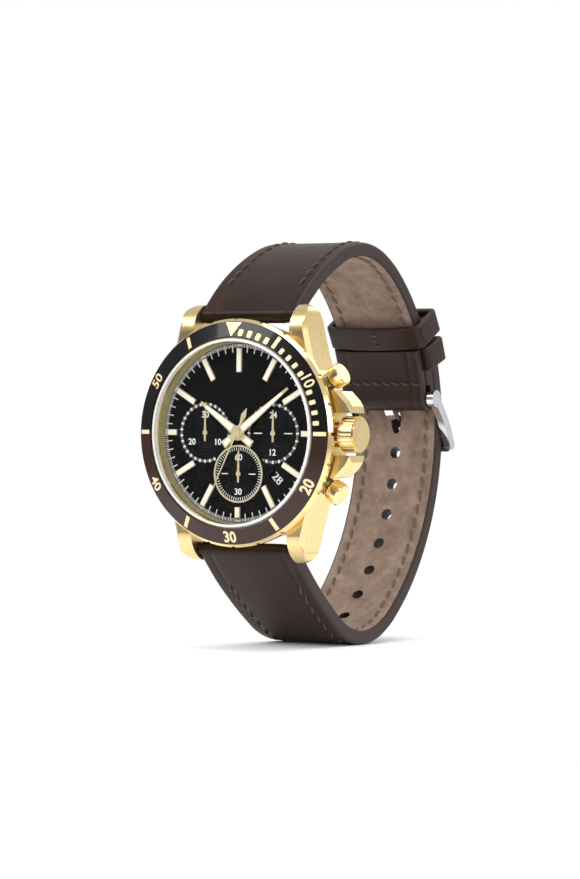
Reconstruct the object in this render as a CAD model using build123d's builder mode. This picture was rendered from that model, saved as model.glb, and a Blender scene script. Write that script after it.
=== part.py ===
from build123d import *
from math import cos, radians, sin
import os

# Chronograph wristwatch, in millimetres.
# The origin is the centre of the case back's outer face. The dial faces -Y, twelve o'clock is +Z and
# the crown is on +X. A "height" is a distance from the case back's face towards the dial, along -Y.

os.makedirs("parts", exist_ok=True)

# ---------------------------------------------------------------- driving dimensions
# clearances
running_gap = 0.05        # radial play of a shaft in its hole
strap_side_gap = 0.2      # strap to lug, each side

# case
case_diameter = 42.6
bezel_overhang = 1.2      # bezel past the case, each side
bezel_seat_width = 1.1    # case shoulder that the bezel turns above
neck_wall = 1.45          # collar outside the glass's gasket
gasket_wall = 0.25
glass_seat_width = 0.3
lug_reach = 4.1           # lug tips past the case
strap_width = 22.0
strap_end_width = 19.6

# heights above the case back's face
back_rim_height = 1.2     # where the middle case starts
shoulder_height = 8.45    # where the bezel's space starts
neck_height = 10.4
glass_seat_height = 10.0
overall_height = 12.0
dial_height = 8.6         # the dial's front face
stem_height = 5.5         # axis of the stem and the push-pieces

# case back
back_inset = 1.9          # case back's rim inside the case's
back_floor = 0.9
back_thread_depth = 1.4
back_thread_wall = 1.2
back_notch_count = 6
back_notch_depth = 0.5
back_gasket_width = 0.6
back_gasket_depth = 0.5

# lugs
lug_root_height = 8.4
lug_waist_z = 12.4        # where the lug's side leaves the round case
lug_flank_swell = 0.95     # the flank bulges between tip and waist
lug_flank_reach = 6.8     # from the tip to the widest place
lug_side_x = 14.5         # half width over the lugs, close to their tips
lug_tip_radius = 2.2
spring_bar_inset = 2.1    # from the lug tips to the spring bars
spring_bar_height = 4.4
spring_bar_radius = 0.75
spring_bar_pivot_radius = 0.4
spring_bar_pivot_length = 1.5

# bezel
bezel_bottom_height = 8.75
bezel_edge_low = 9.15
bezel_edge_high = 9.95
insert_glass_gap = 0.2    # between the glass's gasket and the insert
bezel_rim_width = 0.55    # metal outside the insert
insert_outer_height = 10.3
insert_inner_height = 11.4
insert_thickness = 0.5
bezel_flange_height = 10.55
bezel_grip_count = 24
bezel_grip_radius = 0.55
wire_low = 9.5
wire_high = 9.9
wire_depth = 0.35

# crown
crown_diameter = 7.1
crown_gap = 1.6           # between the case and the crown
crown_length = 3.3
crown_wall = 1.2
crown_bore = 4.2
crown_ribs = 28
crown_pull = 1.0
crown_tube_diameter = 3.5
crown_tube_grip = 0.7     # tube left inside the crown when it is pulled out
stem_radius = 0.6
stem_inner_x = 8.5
stem_lever_x = 11.0
crown_guard_reach = 3.9   # past the case
crown_rib_radius = 0.26
crown_rim = 0.25          # step round the crown's end
crown_rim_inset = 0.35
crown_guard_gap = 0.6

# push-pieces
pusher_angle = 28.5       # from the crown's axis, up and down
pusher_cap_diameter = 4.6
pusher_rest_gap = 0.4     # left under a cap that is pressed home
pusher_cap_length = 2.5
pusher_cap_wall = 1.2
pusher_travel = 0.8
pusher_stem_radius = 0.7
pusher_tube_diameter = 3.0
pusher_tube_proud = 1.0   # past the case
spring_coils = 5
spring_wire = 0.2
spring_clearance = 0.08
pusher_stem_end = 17.2

# movement
plate_diameter = 28.4
plate_height = 6.4
plate_thickness = 0.6
bridge_height = 3.6
bridge_thickness = 0.5
board_height = 3.1
board_thickness = 0.3
battery_diameter = 9.5
battery_height = 2.2
battery_thickness = 2.1
battery_x = -5.5
battery_z = 6.0
date_disc_height = 7.75
date_disc_thickness = 0.2
date_disc_outer = 28.0
date_disc_inner = 21.6

# motion works
motion_centre_distance = 3.6
motion_angle = 60.0
cannon_teeth = 12
minute_wheel_teeth = 36
minute_pinion_teeth = 12
hour_wheel_teeth = 48
arbor_radius = 0.2
centre_tube_radius = 0.45
cannon_pipe_radius = 0.72
hour_pipe_radius = 1.05

# dial and hands
dial_thickness = 0.4
dial_play = 0.2           # between the dial and the bore, on the diameter
rehaut_wall_low = 0.45
rehaut_wall_high = 0.15
marker_height = 0.35
marker_rim = 0.9          # from the markers to the rehaut
marker_length = 4.75
short_marker_length = 2.15
marker_width = 1.15
date_radius = 12.4
date_angle = 135.0
date_window_width = 2.9
date_window_height = 2.0
counter_x = 7.96
counter_z = -8.05
counter_ring_radius = 5.7
counter_ring_wall = 0.35
minute_hand_angle = 52.8  # clockwise from twelve
hour_hand_angle = 10 * 30 + minute_hand_angle / 12
seconds_hand_angle = 206.0
hour_hand_height = 9.0
minute_hand_height = 9.3
seconds_hand_height = 9.56
counter_hand_height = 8.68
hand_thickness = 0.12
hand_boss_wall = 0.45     # round a hand's hole
seconds_boss_radius = 0.8
seconds_cap_radius = 0.6
counter_boss_radius = 0.55
counter_cap_radius = 0.4
hour_hand_length = 10.6
minute_hand_length = 14.7
seconds_hand_length = 12.0
seconds_tail_length = 5.4
counter_hand_length = 4.6

# strap
leather_thickness = 1.6
lining_thickness = 1.2
ply_gap = 0.2             # between the two halves where they overlap
hole_radius = 1.2
hole_pitch = 6.7
hole_count = 8
buckle_station = 78.0     # distance along the loop from the upper lugs to the buckle bar
tongue_hole_station = 83.2
tail_length = 21.5        # past the tongue's hole
fold_length = 12.0
fold_allowance = 0.75     # room for the fixed keeper between the lining and the fold
strap_end_radius = 1.6    # leather around a spring bar
buckle_bar_radius = 0.9
buckle_wall = 1.5
buckle_cross_thickness = 1.3
buckle_cross_height = 3.0
buckle_side_gap = 0.4
keeper_width = 5.0
keeper_wall = 1.2
keeper_gap = 0.25
fixed_keeper_station = 68.7
free_keeper_station = 62.8
tongue_width = 2.0
tongue_thickness = 1.2

# The buckled strap is one loop, drawn as the line where the upper half's outer face and the lower
# half's inner face lie on each other. It is a chain of arcs: (radius, turn in degrees), clockwise.
loop_start = (-5.4, 24.55)    # on the leather round the upper spring bar
loop_heading = 47.9
loop_arcs = [(48.5, 27.4), (23.4, 57.4), (41, 53), (47.8, 51.4), (17.2, 72.1), (96, 13.6)]
loop_length = sum(radius * radians(turn) for radius, turn in loop_arcs)

# ---------------------------------------------------------------- values that follow
case_radius = case_diameter / 2
bezel_diameter = case_diameter + 2 * bezel_overhang
neck_radius = case_radius - bezel_seat_width
glass_radius = neck_radius - neck_wall - gasket_wall
bore_radius = glass_radius - glass_seat_width
dial_diameter = 2 * bore_radius - dial_play
back_diameter = case_diameter - 2 * back_inset
tip_z = case_diameter / 2 + lug_reach
spring_bar_z = tip_z - spring_bar_inset
lug_gap = strap_width + 2 * strap_side_gap
strap_thickness = leather_thickness + lining_thickness
fold_thickness = strap_thickness + fold_allowance + leather_thickness
bezel_inner_radius = neck_radius + running_gap
insert_inner_radius = glass_radius + gasket_wall + insert_glass_gap
insert_outer_radius = bezel_diameter / 2 - bezel_rim_width
crown_radius = crown_diameter / 2
crown_inner_x = case_radius + crown_gap
crown_outer_x = crown_inner_x + crown_length
crown_tube_end_x = crown_inner_x + crown_pull + crown_tube_grip
crown_guard_x = case_radius + crown_guard_reach
crown_tube_radius = crown_tube_diameter / 2
pusher_tube_radius = pusher_tube_diameter / 2
pusher_tube_end = case_radius + pusher_tube_proud
pusher_cap_start = case_radius + pusher_travel + pusher_rest_gap
pusher_cap_end = pusher_cap_start + pusher_cap_length
marker_outer_radius = dial_diameter / 2 - rehaut_wall_low - marker_rim
plate_radius = plate_diameter / 2
plate_top = plate_height + plate_thickness
cavity_radius = plate_radius - 0.6
cannon_module = 2 * motion_centre_distance / (cannon_teeth + minute_wheel_teeth)
hour_module = 2 * motion_centre_distance / (minute_pinion_teeth + hour_wheel_teeth)
minute_post_x = motion_centre_distance * cos(radians(motion_angle))
minute_post_z = motion_centre_distance * sin(radians(motion_angle))
counter_places = {
    "counter_minutes": (-counter_x, 0.0),
    "counter_hours": (counter_x, 0.0),
    "counter_seconds": (0.0, counter_z),
}
arbor_start = bridge_height + bridge_thickness + running_gap

face = Plane.XZ                                             # offset(h) is the level at height h
side = Plane.YZ                                             # offset(x) is a section across the strap
section = Plane((0, 0, 0), x_dir=(-1, 0, 0), z_dir=(0, 0, 1))   # (radius, height) about the Y axis
crown_plane = Plane((0, -stem_height, 0), x_dir=(0, 0, 1), z_dir=(1, 0, 0))


def pusher_plane(angle):
    """Plane whose normal runs out along a push-piece, angle degrees above the crown's axis."""
    direction = (cos(radians(angle)), 0, sin(radians(angle)))
    return Plane((0, -stem_height, 0), x_dir=(0, -1, 0), z_dir=direction)


def section_at(x, z):
    """Plane of (radius, height) about an axis that stands at x, z."""
    return Plane((x, 0, z), x_dir=(1, 0, 0), z_dir=(0, 0, -1))


def axis_at(x, z):
    return Axis((x, 0, z), (0, -1, 0))


def on_dial(radius, clock_angle):
    """Point at a radius and a clockwise angle from twelve, in the dial's own plane."""
    angle = radians(clock_angle)
    return (radius * sin(angle), radius * cos(angle))


def box_profile(inner, outer, low, high):
    """Rectangle from radius inner to outer and from height low to high, for a turned ring."""
    Polygon((inner, low), (outer, low), (outer, high), (inner, high), align=None)


def gear_face(teeth, module, offset_degrees, bore):
    """Toothed disc: each tooth is a trapezium on the root circle, narrower than its space."""
    root = module * (teeth / 2 - 1.2)
    tip = module * (teeth / 2 + 0.9)
    pitch_angle = 360 / teeth
    points = []
    for tooth in range(teeth):
        middle = offset_degrees + tooth * pitch_angle
        for radius, share in ((root, -0.30), (tip, -0.11), (tip, 0.11), (root, 0.30)):
            angle = radians(middle + share * pitch_angle)
            points.append((radius * cos(angle), radius * sin(angle)))
    Polygon(*points, align=None)
    Circle(bore, mode=Mode.SUBTRACT)


def hand_outline(clock_angle, stations):
    """Hand drawn along a clock angle from (distance, half width) pairs, mirrored about its own line."""
    along = radians(clock_angle)
    left = [(d * sin(along) - w * cos(along), d * cos(along) + w * sin(along)) for d, w in stations]
    right = [(d * sin(along) + w * cos(along), d * cos(along) - w * sin(along)) for d, w in stations]
    Polygon(*(left + right[::-1]), align=None)


def loop_state(distance):
    """Point and heading on the strap's loop line at a distance from its start."""
    y, z = loop_start
    heading = radians(loop_heading)
    for radius, turn in loop_arcs:
        step = min(distance, radius * radians(turn))
        centre_y = y + radius * sin(heading)
        centre_z = z - radius * cos(heading)
        heading -= step / radius
        y = centre_y - radius * sin(heading)
        z = centre_z + radius * cos(heading)
        distance -= step
    return y, z, heading


def loop_point(distance, inset):
    """Point off the loop line, inset towards the wrist (negative is away from it)."""
    y, z, heading = loop_state(distance)
    return (y + inset * sin(heading), z - inset * cos(heading))


def loop_plane(distance, inset):
    """Plane on the loop whose normal points at the wrist and whose y axis runs along the strap."""
    y, z, heading = loop_state(distance)
    point = loop_point(distance, inset)
    return Plane((0, *point), x_dir=(1, 0, 0), z_dir=(0, sin(heading), -cos(heading)))


def along_plane(distance, inset):
    """Plane on the loop across the strap: x is the strap's width and y points at the wrist."""
    y, z, heading = loop_state(distance)
    point = loop_point(distance, inset)
    return Plane((0, *point), x_dir=(1, 0, 0), z_dir=(0, cos(heading), sin(heading)))


def loop_joints(first, last):
    """Distances from first to last at which the loop's arc changes."""
    ends = []
    total = 0
    for radius, turn in loop_arcs:
        total += radius * radians(turn)
        if first + 0.01 < total < last - 0.01:
            ends.append(total)
    return [first] + ends + [last]


def strap_band(first, last, outer, inner):
    """Closed section of one ply, from first to last along the loop, between two insets."""
    stations = loop_joints(first, last)
    spans = list(zip(stations, stations[1:]))
    with BuildLine() as edge:
        for start, end in spans:
            ThreePointArc(*(loop_point(s, outer) for s in (start, (start + end) / 2, end)))
        Line(loop_point(last, outer), loop_point(last, inner))
        for start, end in spans[::-1]:
            ThreePointArc(*(loop_point(s, inner) for s in (end, (start + end) / 2, start)))
        Line(loop_point(first, inner), loop_point(first, outer))
    make_face(edge.line)


def taper_strap():
    """Trims the open part to the strap's plan: full width at the lugs, narrower at the buckle."""
    with BuildSketch(Plane.XY.offset(-60)) as plan:
        Polygon(
            (-strap_width / 2, -10), (strap_width / 2, -10), (strap_width / 2, 0),
            (strap_end_width / 2, 32), (strap_end_width / 2, 80),
            (-strap_end_width / 2, 80), (-strap_end_width / 2, 32), (-strap_width / 2, 0),
            align=None,
        )
    extrude(plan.sketch, amount=120, mode=Mode.INTERSECT)


def finish(part, name):
    part.part.label = name
    export_step(part.part, f"parts/{name}.step")


# ---------------------------------------------------------------- middle case
with BuildPart() as case_middle:
    # the four lugs, as two bars that run from tip to tip
    with BuildSketch(face.offset(back_rim_height)) as lug_plan:
        with BuildLine():
            edge = Line((lug_gap / 2, 0), (lug_gap / 2, tip_z))
            tip = Line(edge @ 1, (lug_side_x - lug_tip_radius, tip_z))
            corner = RadiusArc(tip @ 1, (lug_side_x, tip_z - lug_tip_radius), lug_tip_radius)
            waist_x = (case_radius ** 2 - lug_waist_z ** 2) ** 0.5
            swell = (lug_side_x + lug_flank_swell, tip_z - lug_flank_reach)
            flank = ThreePointArc(corner @ 1, swell, (waist_x, lug_waist_z))
            Polyline(flank @ 1, (waist_x, 0), (lug_gap / 2, 0))
        make_face()
        mirror(about=Plane.YZ)
        mirror(about=Plane.XZ)
    extrude(amount=lug_root_height - back_rim_height)
    with BuildSketch(side.offset(-case_diameter)) as lug_profile:
        with BuildLine():
            top = Line((-lug_root_height, 0), (-lug_root_height, tip_z - 5.8))
            brow = ThreePointArc(top @ 1, (-7.35, tip_z - 2.2), (-4.9, tip_z - 0.2))
            nose = ThreePointArc(brow @ 1, (-4.1, tip_z), (-3.3, tip_z - 0.3))
            heel = ThreePointArc(nose @ 1, (-1.75, spring_bar_z), (-back_rim_height, tip_z - 5.2))
            Polyline(heel @ 1, (-back_rim_height, 0), (-lug_root_height, 0))
        make_face()
        mirror(about=Plane.XZ)
    extrude(amount=2 * case_diameter, mode=Mode.INTERSECT)
    # bevel along the outer front edge of each lug
    front_edges = case_middle.edges().filter_by(
        lambda e: abs(e.center().X) > lug_side_x - 0.2 and e.center().Y < -5.5 and abs(e.center().Z) > 13
    )
    chamfer(front_edges.filter_by(lambda e: e.length > 3), length=0.8)
    # round body and the neck that carries the bezel and the glass
    with BuildSketch(section):
        Polygon(
            (bore_radius, back_rim_height), (case_radius - 0.9, back_rim_height),
            (case_radius, back_rim_height + 0.9), (case_radius, shoulder_height),
            (neck_radius, shoulder_height), (neck_radius, neck_height),
            (glass_radius + gasket_wall, neck_height), (glass_radius + gasket_wall, glass_seat_height),
            (bore_radius, glass_seat_height), align=None,
        )
    revolve(axis=Axis.Y)
    # crown guards
    with BuildSketch(face.offset(2.4)):
        guard_side = crown_radius + crown_guard_gap
        Polygon(
            (case_radius - 1.5, guard_side), (crown_guard_x - 0.2, guard_side),
            (crown_guard_x, guard_side + 1.3), (crown_guard_x - 0.7, guard_side + 2.4),
            (22.6, guard_side + 4.2), (19.6, guard_side + 4.4), align=None,
        )
        mirror(about=Plane.XZ)
    extrude(amount=5.6)
    guard_edges = case_middle.edges().filter_by(
        lambda e: e.center().X > 21.6 and abs(abs(e.center().Z) - guard_side - 2.6) < 1.6
        and abs(e.center().Y + 5.2) > 2.7
    )
    chamfer(guard_edges, length=0.7)
    # seat for the crown
    with BuildSketch(crown_plane.offset(case_radius - 1.8)):
        Circle(crown_radius - 0.95)
    extrude(amount=1.8 + 1.1)
    # bore, kept open through the lugs' bars
    with BuildSketch(face):
        Circle(bore_radius)
    extrude(amount=glass_seat_height, mode=Mode.SUBTRACT)
    # groove for the bezel's wire
    with BuildSketch(section):
        box_profile(neck_radius - wire_depth, neck_radius + 1, wire_low - 0.1, wire_high + 0.1)
    revolve(axis=Axis.Y, mode=Mode.SUBTRACT)
    # groove for the case back's gasket
    with BuildSketch(section):
        box_profile(
            bore_radius + 0.4, bore_radius + 0.4 + back_gasket_width,
            back_rim_height - 1, back_rim_height + back_gasket_depth,
        )
    revolve(axis=Axis.Y, mode=Mode.SUBTRACT)
    # holes for the crown's tube and the push-pieces' tubes
    with BuildSketch(crown_plane.offset(bore_radius - 2)):
        Circle(crown_tube_radius)
    extrude(amount=10, mode=Mode.SUBTRACT)
    for angle in (pusher_angle, -pusher_angle):
        with BuildSketch(pusher_plane(angle).offset(bore_radius - 2)):
            Circle(pusher_tube_radius)
        extrude(amount=6, mode=Mode.SUBTRACT)
    # holes for the spring bars' pivots
    for z in (spring_bar_z, -spring_bar_z):
        with BuildSketch(side.offset(-(lug_gap / 2 + spring_bar_pivot_length + 0.1))):
            with Locations((-spring_bar_height, z)):
                Circle(spring_bar_pivot_radius + running_gap)
        extrude(amount=lug_gap + 2 * spring_bar_pivot_length + 0.2, mode=Mode.SUBTRACT)
finish(case_middle, "case_middle")

# ---------------------------------------------------------------- case back and gasket
with BuildPart() as caseback:
    with BuildSketch(section):
        Polygon(
            (0, 0), (back_diameter / 2 - 0.4, 0), (back_diameter / 2, 0.4),
            (back_diameter / 2, back_rim_height),
            (bore_radius, back_rim_height), (bore_radius, back_rim_height + back_thread_depth),
            (bore_radius - back_thread_wall, back_rim_height + back_thread_depth),
            (bore_radius - back_thread_wall, back_floor), (0, back_floor), align=None,
        )
    revolve(axis=Axis.Y)
    with BuildSketch(face):
        with PolarLocations(back_diameter / 2, back_notch_count, start_angle=30):
            Rectangle(3.2, 2.4)
    extrude(amount=back_notch_depth, mode=Mode.SUBTRACT)
finish(caseback, "caseback")

with BuildPart() as caseback_gasket:
    with BuildSketch(section):
        box_profile(
            bore_radius + 0.4, bore_radius + 0.4 + back_gasket_width,
            back_rim_height, back_rim_height + back_gasket_depth,
        )
    revolve(axis=Axis.Y)
finish(caseback_gasket, "caseback_gasket")

# ---------------------------------------------------------------- glass and its gasket
with BuildPart() as crystal:
    with BuildSketch(section):
        Polygon(
            (0, glass_seat_height), (glass_radius, glass_seat_height),
            (glass_radius, overall_height - 0.35),
            (glass_radius - 0.35, overall_height), (0, overall_height), align=None,
        )
    revolve(axis=Axis.Y)
finish(crystal, "crystal")

with BuildPart() as crystal_gasket:
    with BuildSketch(section):
        box_profile(glass_radius, glass_radius + gasket_wall, glass_seat_height, overall_height - 0.9)
    revolve(axis=Axis.Y)
finish(crystal_gasket, "crystal_gasket")

# ---------------------------------------------------------------- bezel: ring, insert, wire, click spring
with BuildPart() as bezel_ring:
    with BuildSketch(section):
        Polygon(
            (bezel_inner_radius, bezel_bottom_height), (bezel_diameter / 2 - 0.5, bezel_bottom_height),
            (bezel_diameter / 2, bezel_edge_low), (bezel_diameter / 2, bezel_edge_high),
            (insert_outer_radius, insert_outer_height + insert_thickness),
            (insert_outer_radius, insert_outer_height), (insert_inner_radius, insert_inner_height),
            (insert_inner_radius, bezel_flange_height), (bezel_inner_radius, bezel_flange_height),
            align=None,
        )
    revolve(axis=Axis.Y)
    with BuildSketch(section):
        box_profile(neck_radius - 0.5, bezel_inner_radius + wire_depth, wire_low, wire_high)
    revolve(axis=Axis.Y, mode=Mode.SUBTRACT)
    with BuildSketch(face.offset(bezel_bottom_height)):
        with PolarLocations(bezel_diameter / 2 + 0.3, bezel_grip_count):
            Circle(bezel_grip_radius)
    extrude(amount=1.6, mode=Mode.SUBTRACT)
finish(bezel_ring, "bezel_ring")

with BuildPart() as bezel_insert:
    with BuildSketch(section):
        Polygon(
            (insert_outer_radius, insert_outer_height), (insert_inner_radius, insert_inner_height),
            (insert_inner_radius, insert_inner_height + insert_thickness),
            (insert_outer_radius, insert_outer_height + insert_thickness), align=None,
        )
    revolve(axis=Axis.Y)
finish(bezel_insert, "bezel_insert")

with BuildPart() as bezel_wire:
    with BuildSketch(section):
        box_profile(neck_radius - wire_depth + 0.15, bezel_inner_radius + wire_depth, wire_low, wire_high)
    revolve(axis=Axis.Y)
    with BuildSketch(face.offset(wire_low)):
        with Locations((0, -neck_radius)):
            Rectangle(1.5, 3)
    extrude(amount=wire_high - wire_low, mode=Mode.SUBTRACT)
finish(bezel_wire, "bezel_wire")

with BuildPart() as bezel_click_spring:
    with BuildSketch(face.offset(shoulder_height)):
        Circle(case_radius - 0.2)
        Circle(neck_radius + 0.1, mode=Mode.SUBTRACT)
        with Locations((0, -case_radius)):
            Rectangle(2, 6, mode=Mode.SUBTRACT)
    extrude(amount=bezel_bottom_height - shoulder_height - 0.1)
finish(bezel_click_spring, "bezel_click_spring")

# ---------------------------------------------------------------- rehaut, dial, markers
with BuildPart() as rehaut_ring:
    with BuildSketch(section):
        Polygon(
            (dial_diameter / 2 - rehaut_wall_low, dial_height), (dial_diameter / 2, dial_height),
            (dial_diameter / 2, glass_seat_height),
            (dial_diameter / 2 - rehaut_wall_high, glass_seat_height), align=None,
        )
    revolve(axis=Axis.Y)
finish(rehaut_ring, "rehaut_ring")

with BuildPart() as dial:
    with BuildSketch(face.offset(dial_height - dial_thickness)):
        Circle(dial_diameter / 2)
        Circle(hour_pipe_radius + 0.3, mode=Mode.SUBTRACT)
        with Locations(*counter_places.values()):
            Circle(arbor_radius + 0.2, mode=Mode.SUBTRACT)
        with Locations(Location((*on_dial(date_radius, date_angle), 0), (0, 0, -date_angle))):
            Rectangle(date_window_height, date_window_width, mode=Mode.SUBTRACT)
    extrude(amount=dial_thickness)
    with BuildSketch(face.offset(dial_height - dial_thickness - 1)):
        with PolarLocations(16, 2, start_angle=60):
            Circle(0.35)
    extrude(amount=1)
finish(dial, "dial")

marker_angles = [hour * 30 for hour in range(12)]
with BuildPart() as hour_markers:
    with BuildSketch(face.offset(dial_height)):
        for clock_angle in marker_angles:
            short = clock_angle in (90, 180, 270)
            inner = marker_outer_radius - (short_marker_length if short else marker_length)
            middle = on_dial((inner + marker_outer_radius) / 2, clock_angle)
            with Locations(Location((*middle, 0), (0, 0, -clock_angle))):
                Rectangle(marker_width, marker_outer_radius - inner)
    extrude(amount=marker_height)
finish(hour_markers, "hour_markers")

with BuildPart() as counter_ring:
    with BuildSketch(face.offset(dial_height)):
        with Locations((0, counter_z)):
            Circle(counter_ring_radius)
            Circle(counter_ring_radius - counter_ring_wall, mode=Mode.SUBTRACT)
    extrude(amount=0.2)
finish(counter_ring, "counter_ring")

# ---------------------------------------------------------------- movement
with BuildPart() as movement_holder:
    with BuildSketch(section):
        Polygon(
            (cavity_radius, back_rim_height + back_thread_depth + 0.1),
            (dial_diameter / 2 - back_thread_wall, back_rim_height + back_thread_depth + 0.1),
            (dial_diameter / 2, back_rim_height + back_thread_depth + 0.6),
            (dial_diameter / 2, dial_height - dial_thickness), (plate_radius, dial_height - dial_thickness),
            (plate_radius, plate_height), (cavity_radius, plate_height), align=None,
        )
    revolve(axis=Axis.Y)
    with BuildSketch(crown_plane.offset(cavity_radius - 1)):
        Circle(stem_radius + 0.3)
    extrude(amount=8, mode=Mode.SUBTRACT)
    for angle in (pusher_angle, -pusher_angle):
        with BuildSketch(pusher_plane(angle).offset(cavity_radius - 1)):
            Circle(pusher_stem_radius + 0.6)
        extrude(amount=8, mode=Mode.SUBTRACT)
    with BuildSketch(face.offset(dial_height - dial_thickness - 1)):
        with PolarLocations(16, 2, start_angle=60):
            Circle(0.35)
    extrude(amount=1, mode=Mode.SUBTRACT)
finish(movement_holder, "movement_holder")

with BuildPart() as main_plate:
    with BuildSketch(section):
        Polygon(
            (centre_tube_radius, plate_height), (plate_radius, plate_height),
            (plate_radius, date_disc_height + date_disc_thickness),
            (date_disc_outer / 2 + running_gap, date_disc_height + date_disc_thickness),
            (date_disc_outer / 2 + running_gap, date_disc_height - 0.05),
            (date_disc_outer / 2 - 0.8, date_disc_height - 0.05),
            (date_disc_outer / 2 - 0.8, plate_top), (centre_tube_radius, plate_top), align=None,
        )
    revolve(axis=Axis.Y)
    with BuildSketch(face.offset(plate_height)):
        with Locations(*counter_places.values()):
            Circle(arbor_radius + running_gap)
    extrude(amount=plate_thickness, mode=Mode.SUBTRACT)
    with BuildSketch(face.offset(plate_top)):
        with Locations((minute_post_x, minute_post_z)):
            Circle(0.25)
    extrude(amount=0.9)
    with BuildSketch(face.offset(bridge_height + bridge_thickness)):
        with PolarLocations(12, 3, start_angle=100):
            Circle(0.7)
    extrude(amount=plate_height - bridge_height - bridge_thickness)
finish(main_plate, "main_plate")

with BuildPart() as centre_tube:
    with BuildSketch(face.offset(plate_height)):
        Circle(centre_tube_radius)
        Circle(arbor_radius + running_gap, mode=Mode.SUBTRACT)
    extrude(amount=minute_hand_height - plate_height)
finish(centre_tube, "centre_tube")

with BuildPart() as train_bridge:
    with BuildSketch(face.offset(bridge_height)):
        Circle(cavity_radius)
        with Locations((battery_x, battery_z)):
            Circle(battery_diameter / 2 + 0.2, mode=Mode.SUBTRACT)
    extrude(amount=bridge_thickness)
finish(train_bridge, "train_bridge")

with BuildPart() as circuit_board:
    with BuildSketch(face.offset(board_height)):
        Circle(cavity_radius)
        with Locations((battery_x, battery_z)):
            Circle(battery_diameter / 2 + 0.2, mode=Mode.SUBTRACT)
    extrude(amount=board_thickness)
    with BuildSketch(face.offset(board_height + board_thickness)):
        with Locations((6, 4), (-3, -8)):
            Rectangle(3, 2.4)
    extrude(amount=bridge_height - board_height - board_thickness)
finish(circuit_board, "circuit_board")

with BuildPart() as battery:
    with BuildSketch(section_at(battery_x, battery_z)):
        Polygon(
            (0, battery_height), (battery_diameter / 2 - 0.3, battery_height),
            (battery_diameter / 2, battery_height + 0.3),
            (battery_diameter / 2, battery_height + battery_thickness),
            (0, battery_height + battery_thickness), align=None,
        )
    revolve(axis=axis_at(battery_x, battery_z))
finish(battery, "battery")

with BuildPart() as battery_clamp:
    clamp_length = battery_diameter + 2.4
    with BuildSketch(face.offset(battery_height - 0.2)):
        with Locations((battery_x, battery_z)):
            Rectangle(3, clamp_length)
    extrude(amount=0.2)
    with BuildSketch(face.offset(battery_height)):
        with Locations((battery_x, battery_z)):
            with GridLocations(0, clamp_length - 0.9, 1, 2):
                Rectangle(3, 0.6)
    extrude(amount=board_height - battery_height)
finish(battery_clamp, "battery_clamp")

coil_places = [(5.5, 8.0, 0.0), (-4.5, -5.5, 20.0), (5.0, -5.5, -20.0)]
with BuildPart() as motor_coils:
    for x, z, turn in coil_places:
        coil_plane = Plane(
            (x, -(bridge_height + bridge_thickness + 1.0), z),
            x_dir=(0, -1, 0), z_dir=(cos(radians(turn)), 0, sin(radians(turn))),
        )
        with BuildSketch(coil_plane.offset(-3)):
            Circle(0.9)
        extrude(amount=6)
        for place in (-3.5, 3.0):
            with BuildSketch(coil_plane.offset(place)):
                Rectangle(2.0, 2.0)
            extrude(amount=0.5)
finish(motor_coils, "motor_coils")

# ---------------------------------------------------------------- motion works and hands
with BuildPart() as cannon_pinion:
    with BuildSketch(face.offset(plate_top + running_gap)):
        gear_face(cannon_teeth, cannon_module, motion_angle, centre_tube_radius + running_gap)
    extrude(amount=0.3)
    with BuildSketch(face.offset(plate_top + running_gap + 0.3)):
        Circle(cannon_pipe_radius)
        Circle(centre_tube_radius + running_gap, mode=Mode.SUBTRACT)
    extrude(amount=minute_hand_height + hand_thickness - plate_top - running_gap - 0.3)
finish(cannon_pinion, "cannon_pinion")

with BuildPart() as minute_wheel:
    with BuildSketch(face.offset(plate_top + 0.1)):
        with Locations((minute_post_x, minute_post_z)):
            gear_face(minute_wheel_teeth, cannon_module, motion_angle + 180 / minute_wheel_teeth + 180, 0.3)
    extrude(amount=0.2)
    with BuildSketch(face.offset(plate_top + 0.3)):
        with Locations((minute_post_x, minute_post_z)):
            gear_face(minute_pinion_teeth, hour_module, motion_angle + 180, 0.3)
    extrude(amount=0.4)
finish(minute_wheel, "minute_wheel")

with BuildPart() as hour_wheel:
    with BuildSketch(face.offset(plate_top + 0.45)):
        gear_face(hour_wheel_teeth, hour_module, motion_angle + 180 / hour_wheel_teeth,
                  cannon_pipe_radius + running_gap)
    extrude(amount=0.2)
    with BuildSketch(face.offset(plate_top + 0.65)):
        Circle(hour_pipe_radius)
        Circle(cannon_pipe_radius + running_gap, mode=Mode.SUBTRACT)
    extrude(amount=hour_hand_height + hand_thickness - plate_top - 0.65)
finish(hour_wheel, "hour_wheel")

with BuildPart() as hour_hand:
    with BuildSketch(face.offset(hour_hand_height)):
        Circle(hour_pipe_radius + hand_boss_wall)
        outline = [(-4.0, 0.82), (-1.4, 0.7), (1.4, 0.92), (hour_hand_length, 0.28)]
        hand_outline(hour_hand_angle, outline)
        Circle(hour_pipe_radius, mode=Mode.SUBTRACT)
    extrude(amount=hand_thickness)
finish(hour_hand, "hour_hand")

with BuildPart() as minute_hand:
    with BuildSketch(face.offset(minute_hand_height)):
        Circle(cannon_pipe_radius + hand_boss_wall)
        outline = [(-4.0, 0.82), (-1.1, 0.65), (1.1, 0.86), (minute_hand_length, 0.24)]
        hand_outline(minute_hand_angle, outline)
        Circle(cannon_pipe_radius, mode=Mode.SUBTRACT)
    extrude(amount=hand_thickness)
finish(minute_hand, "minute_hand")

with BuildPart() as seconds_arbor:
    with BuildSketch(face.offset(arbor_start)):
        Circle(arbor_radius)
    extrude(amount=seconds_hand_height - arbor_start)
finish(seconds_arbor, "seconds_arbor")

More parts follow.
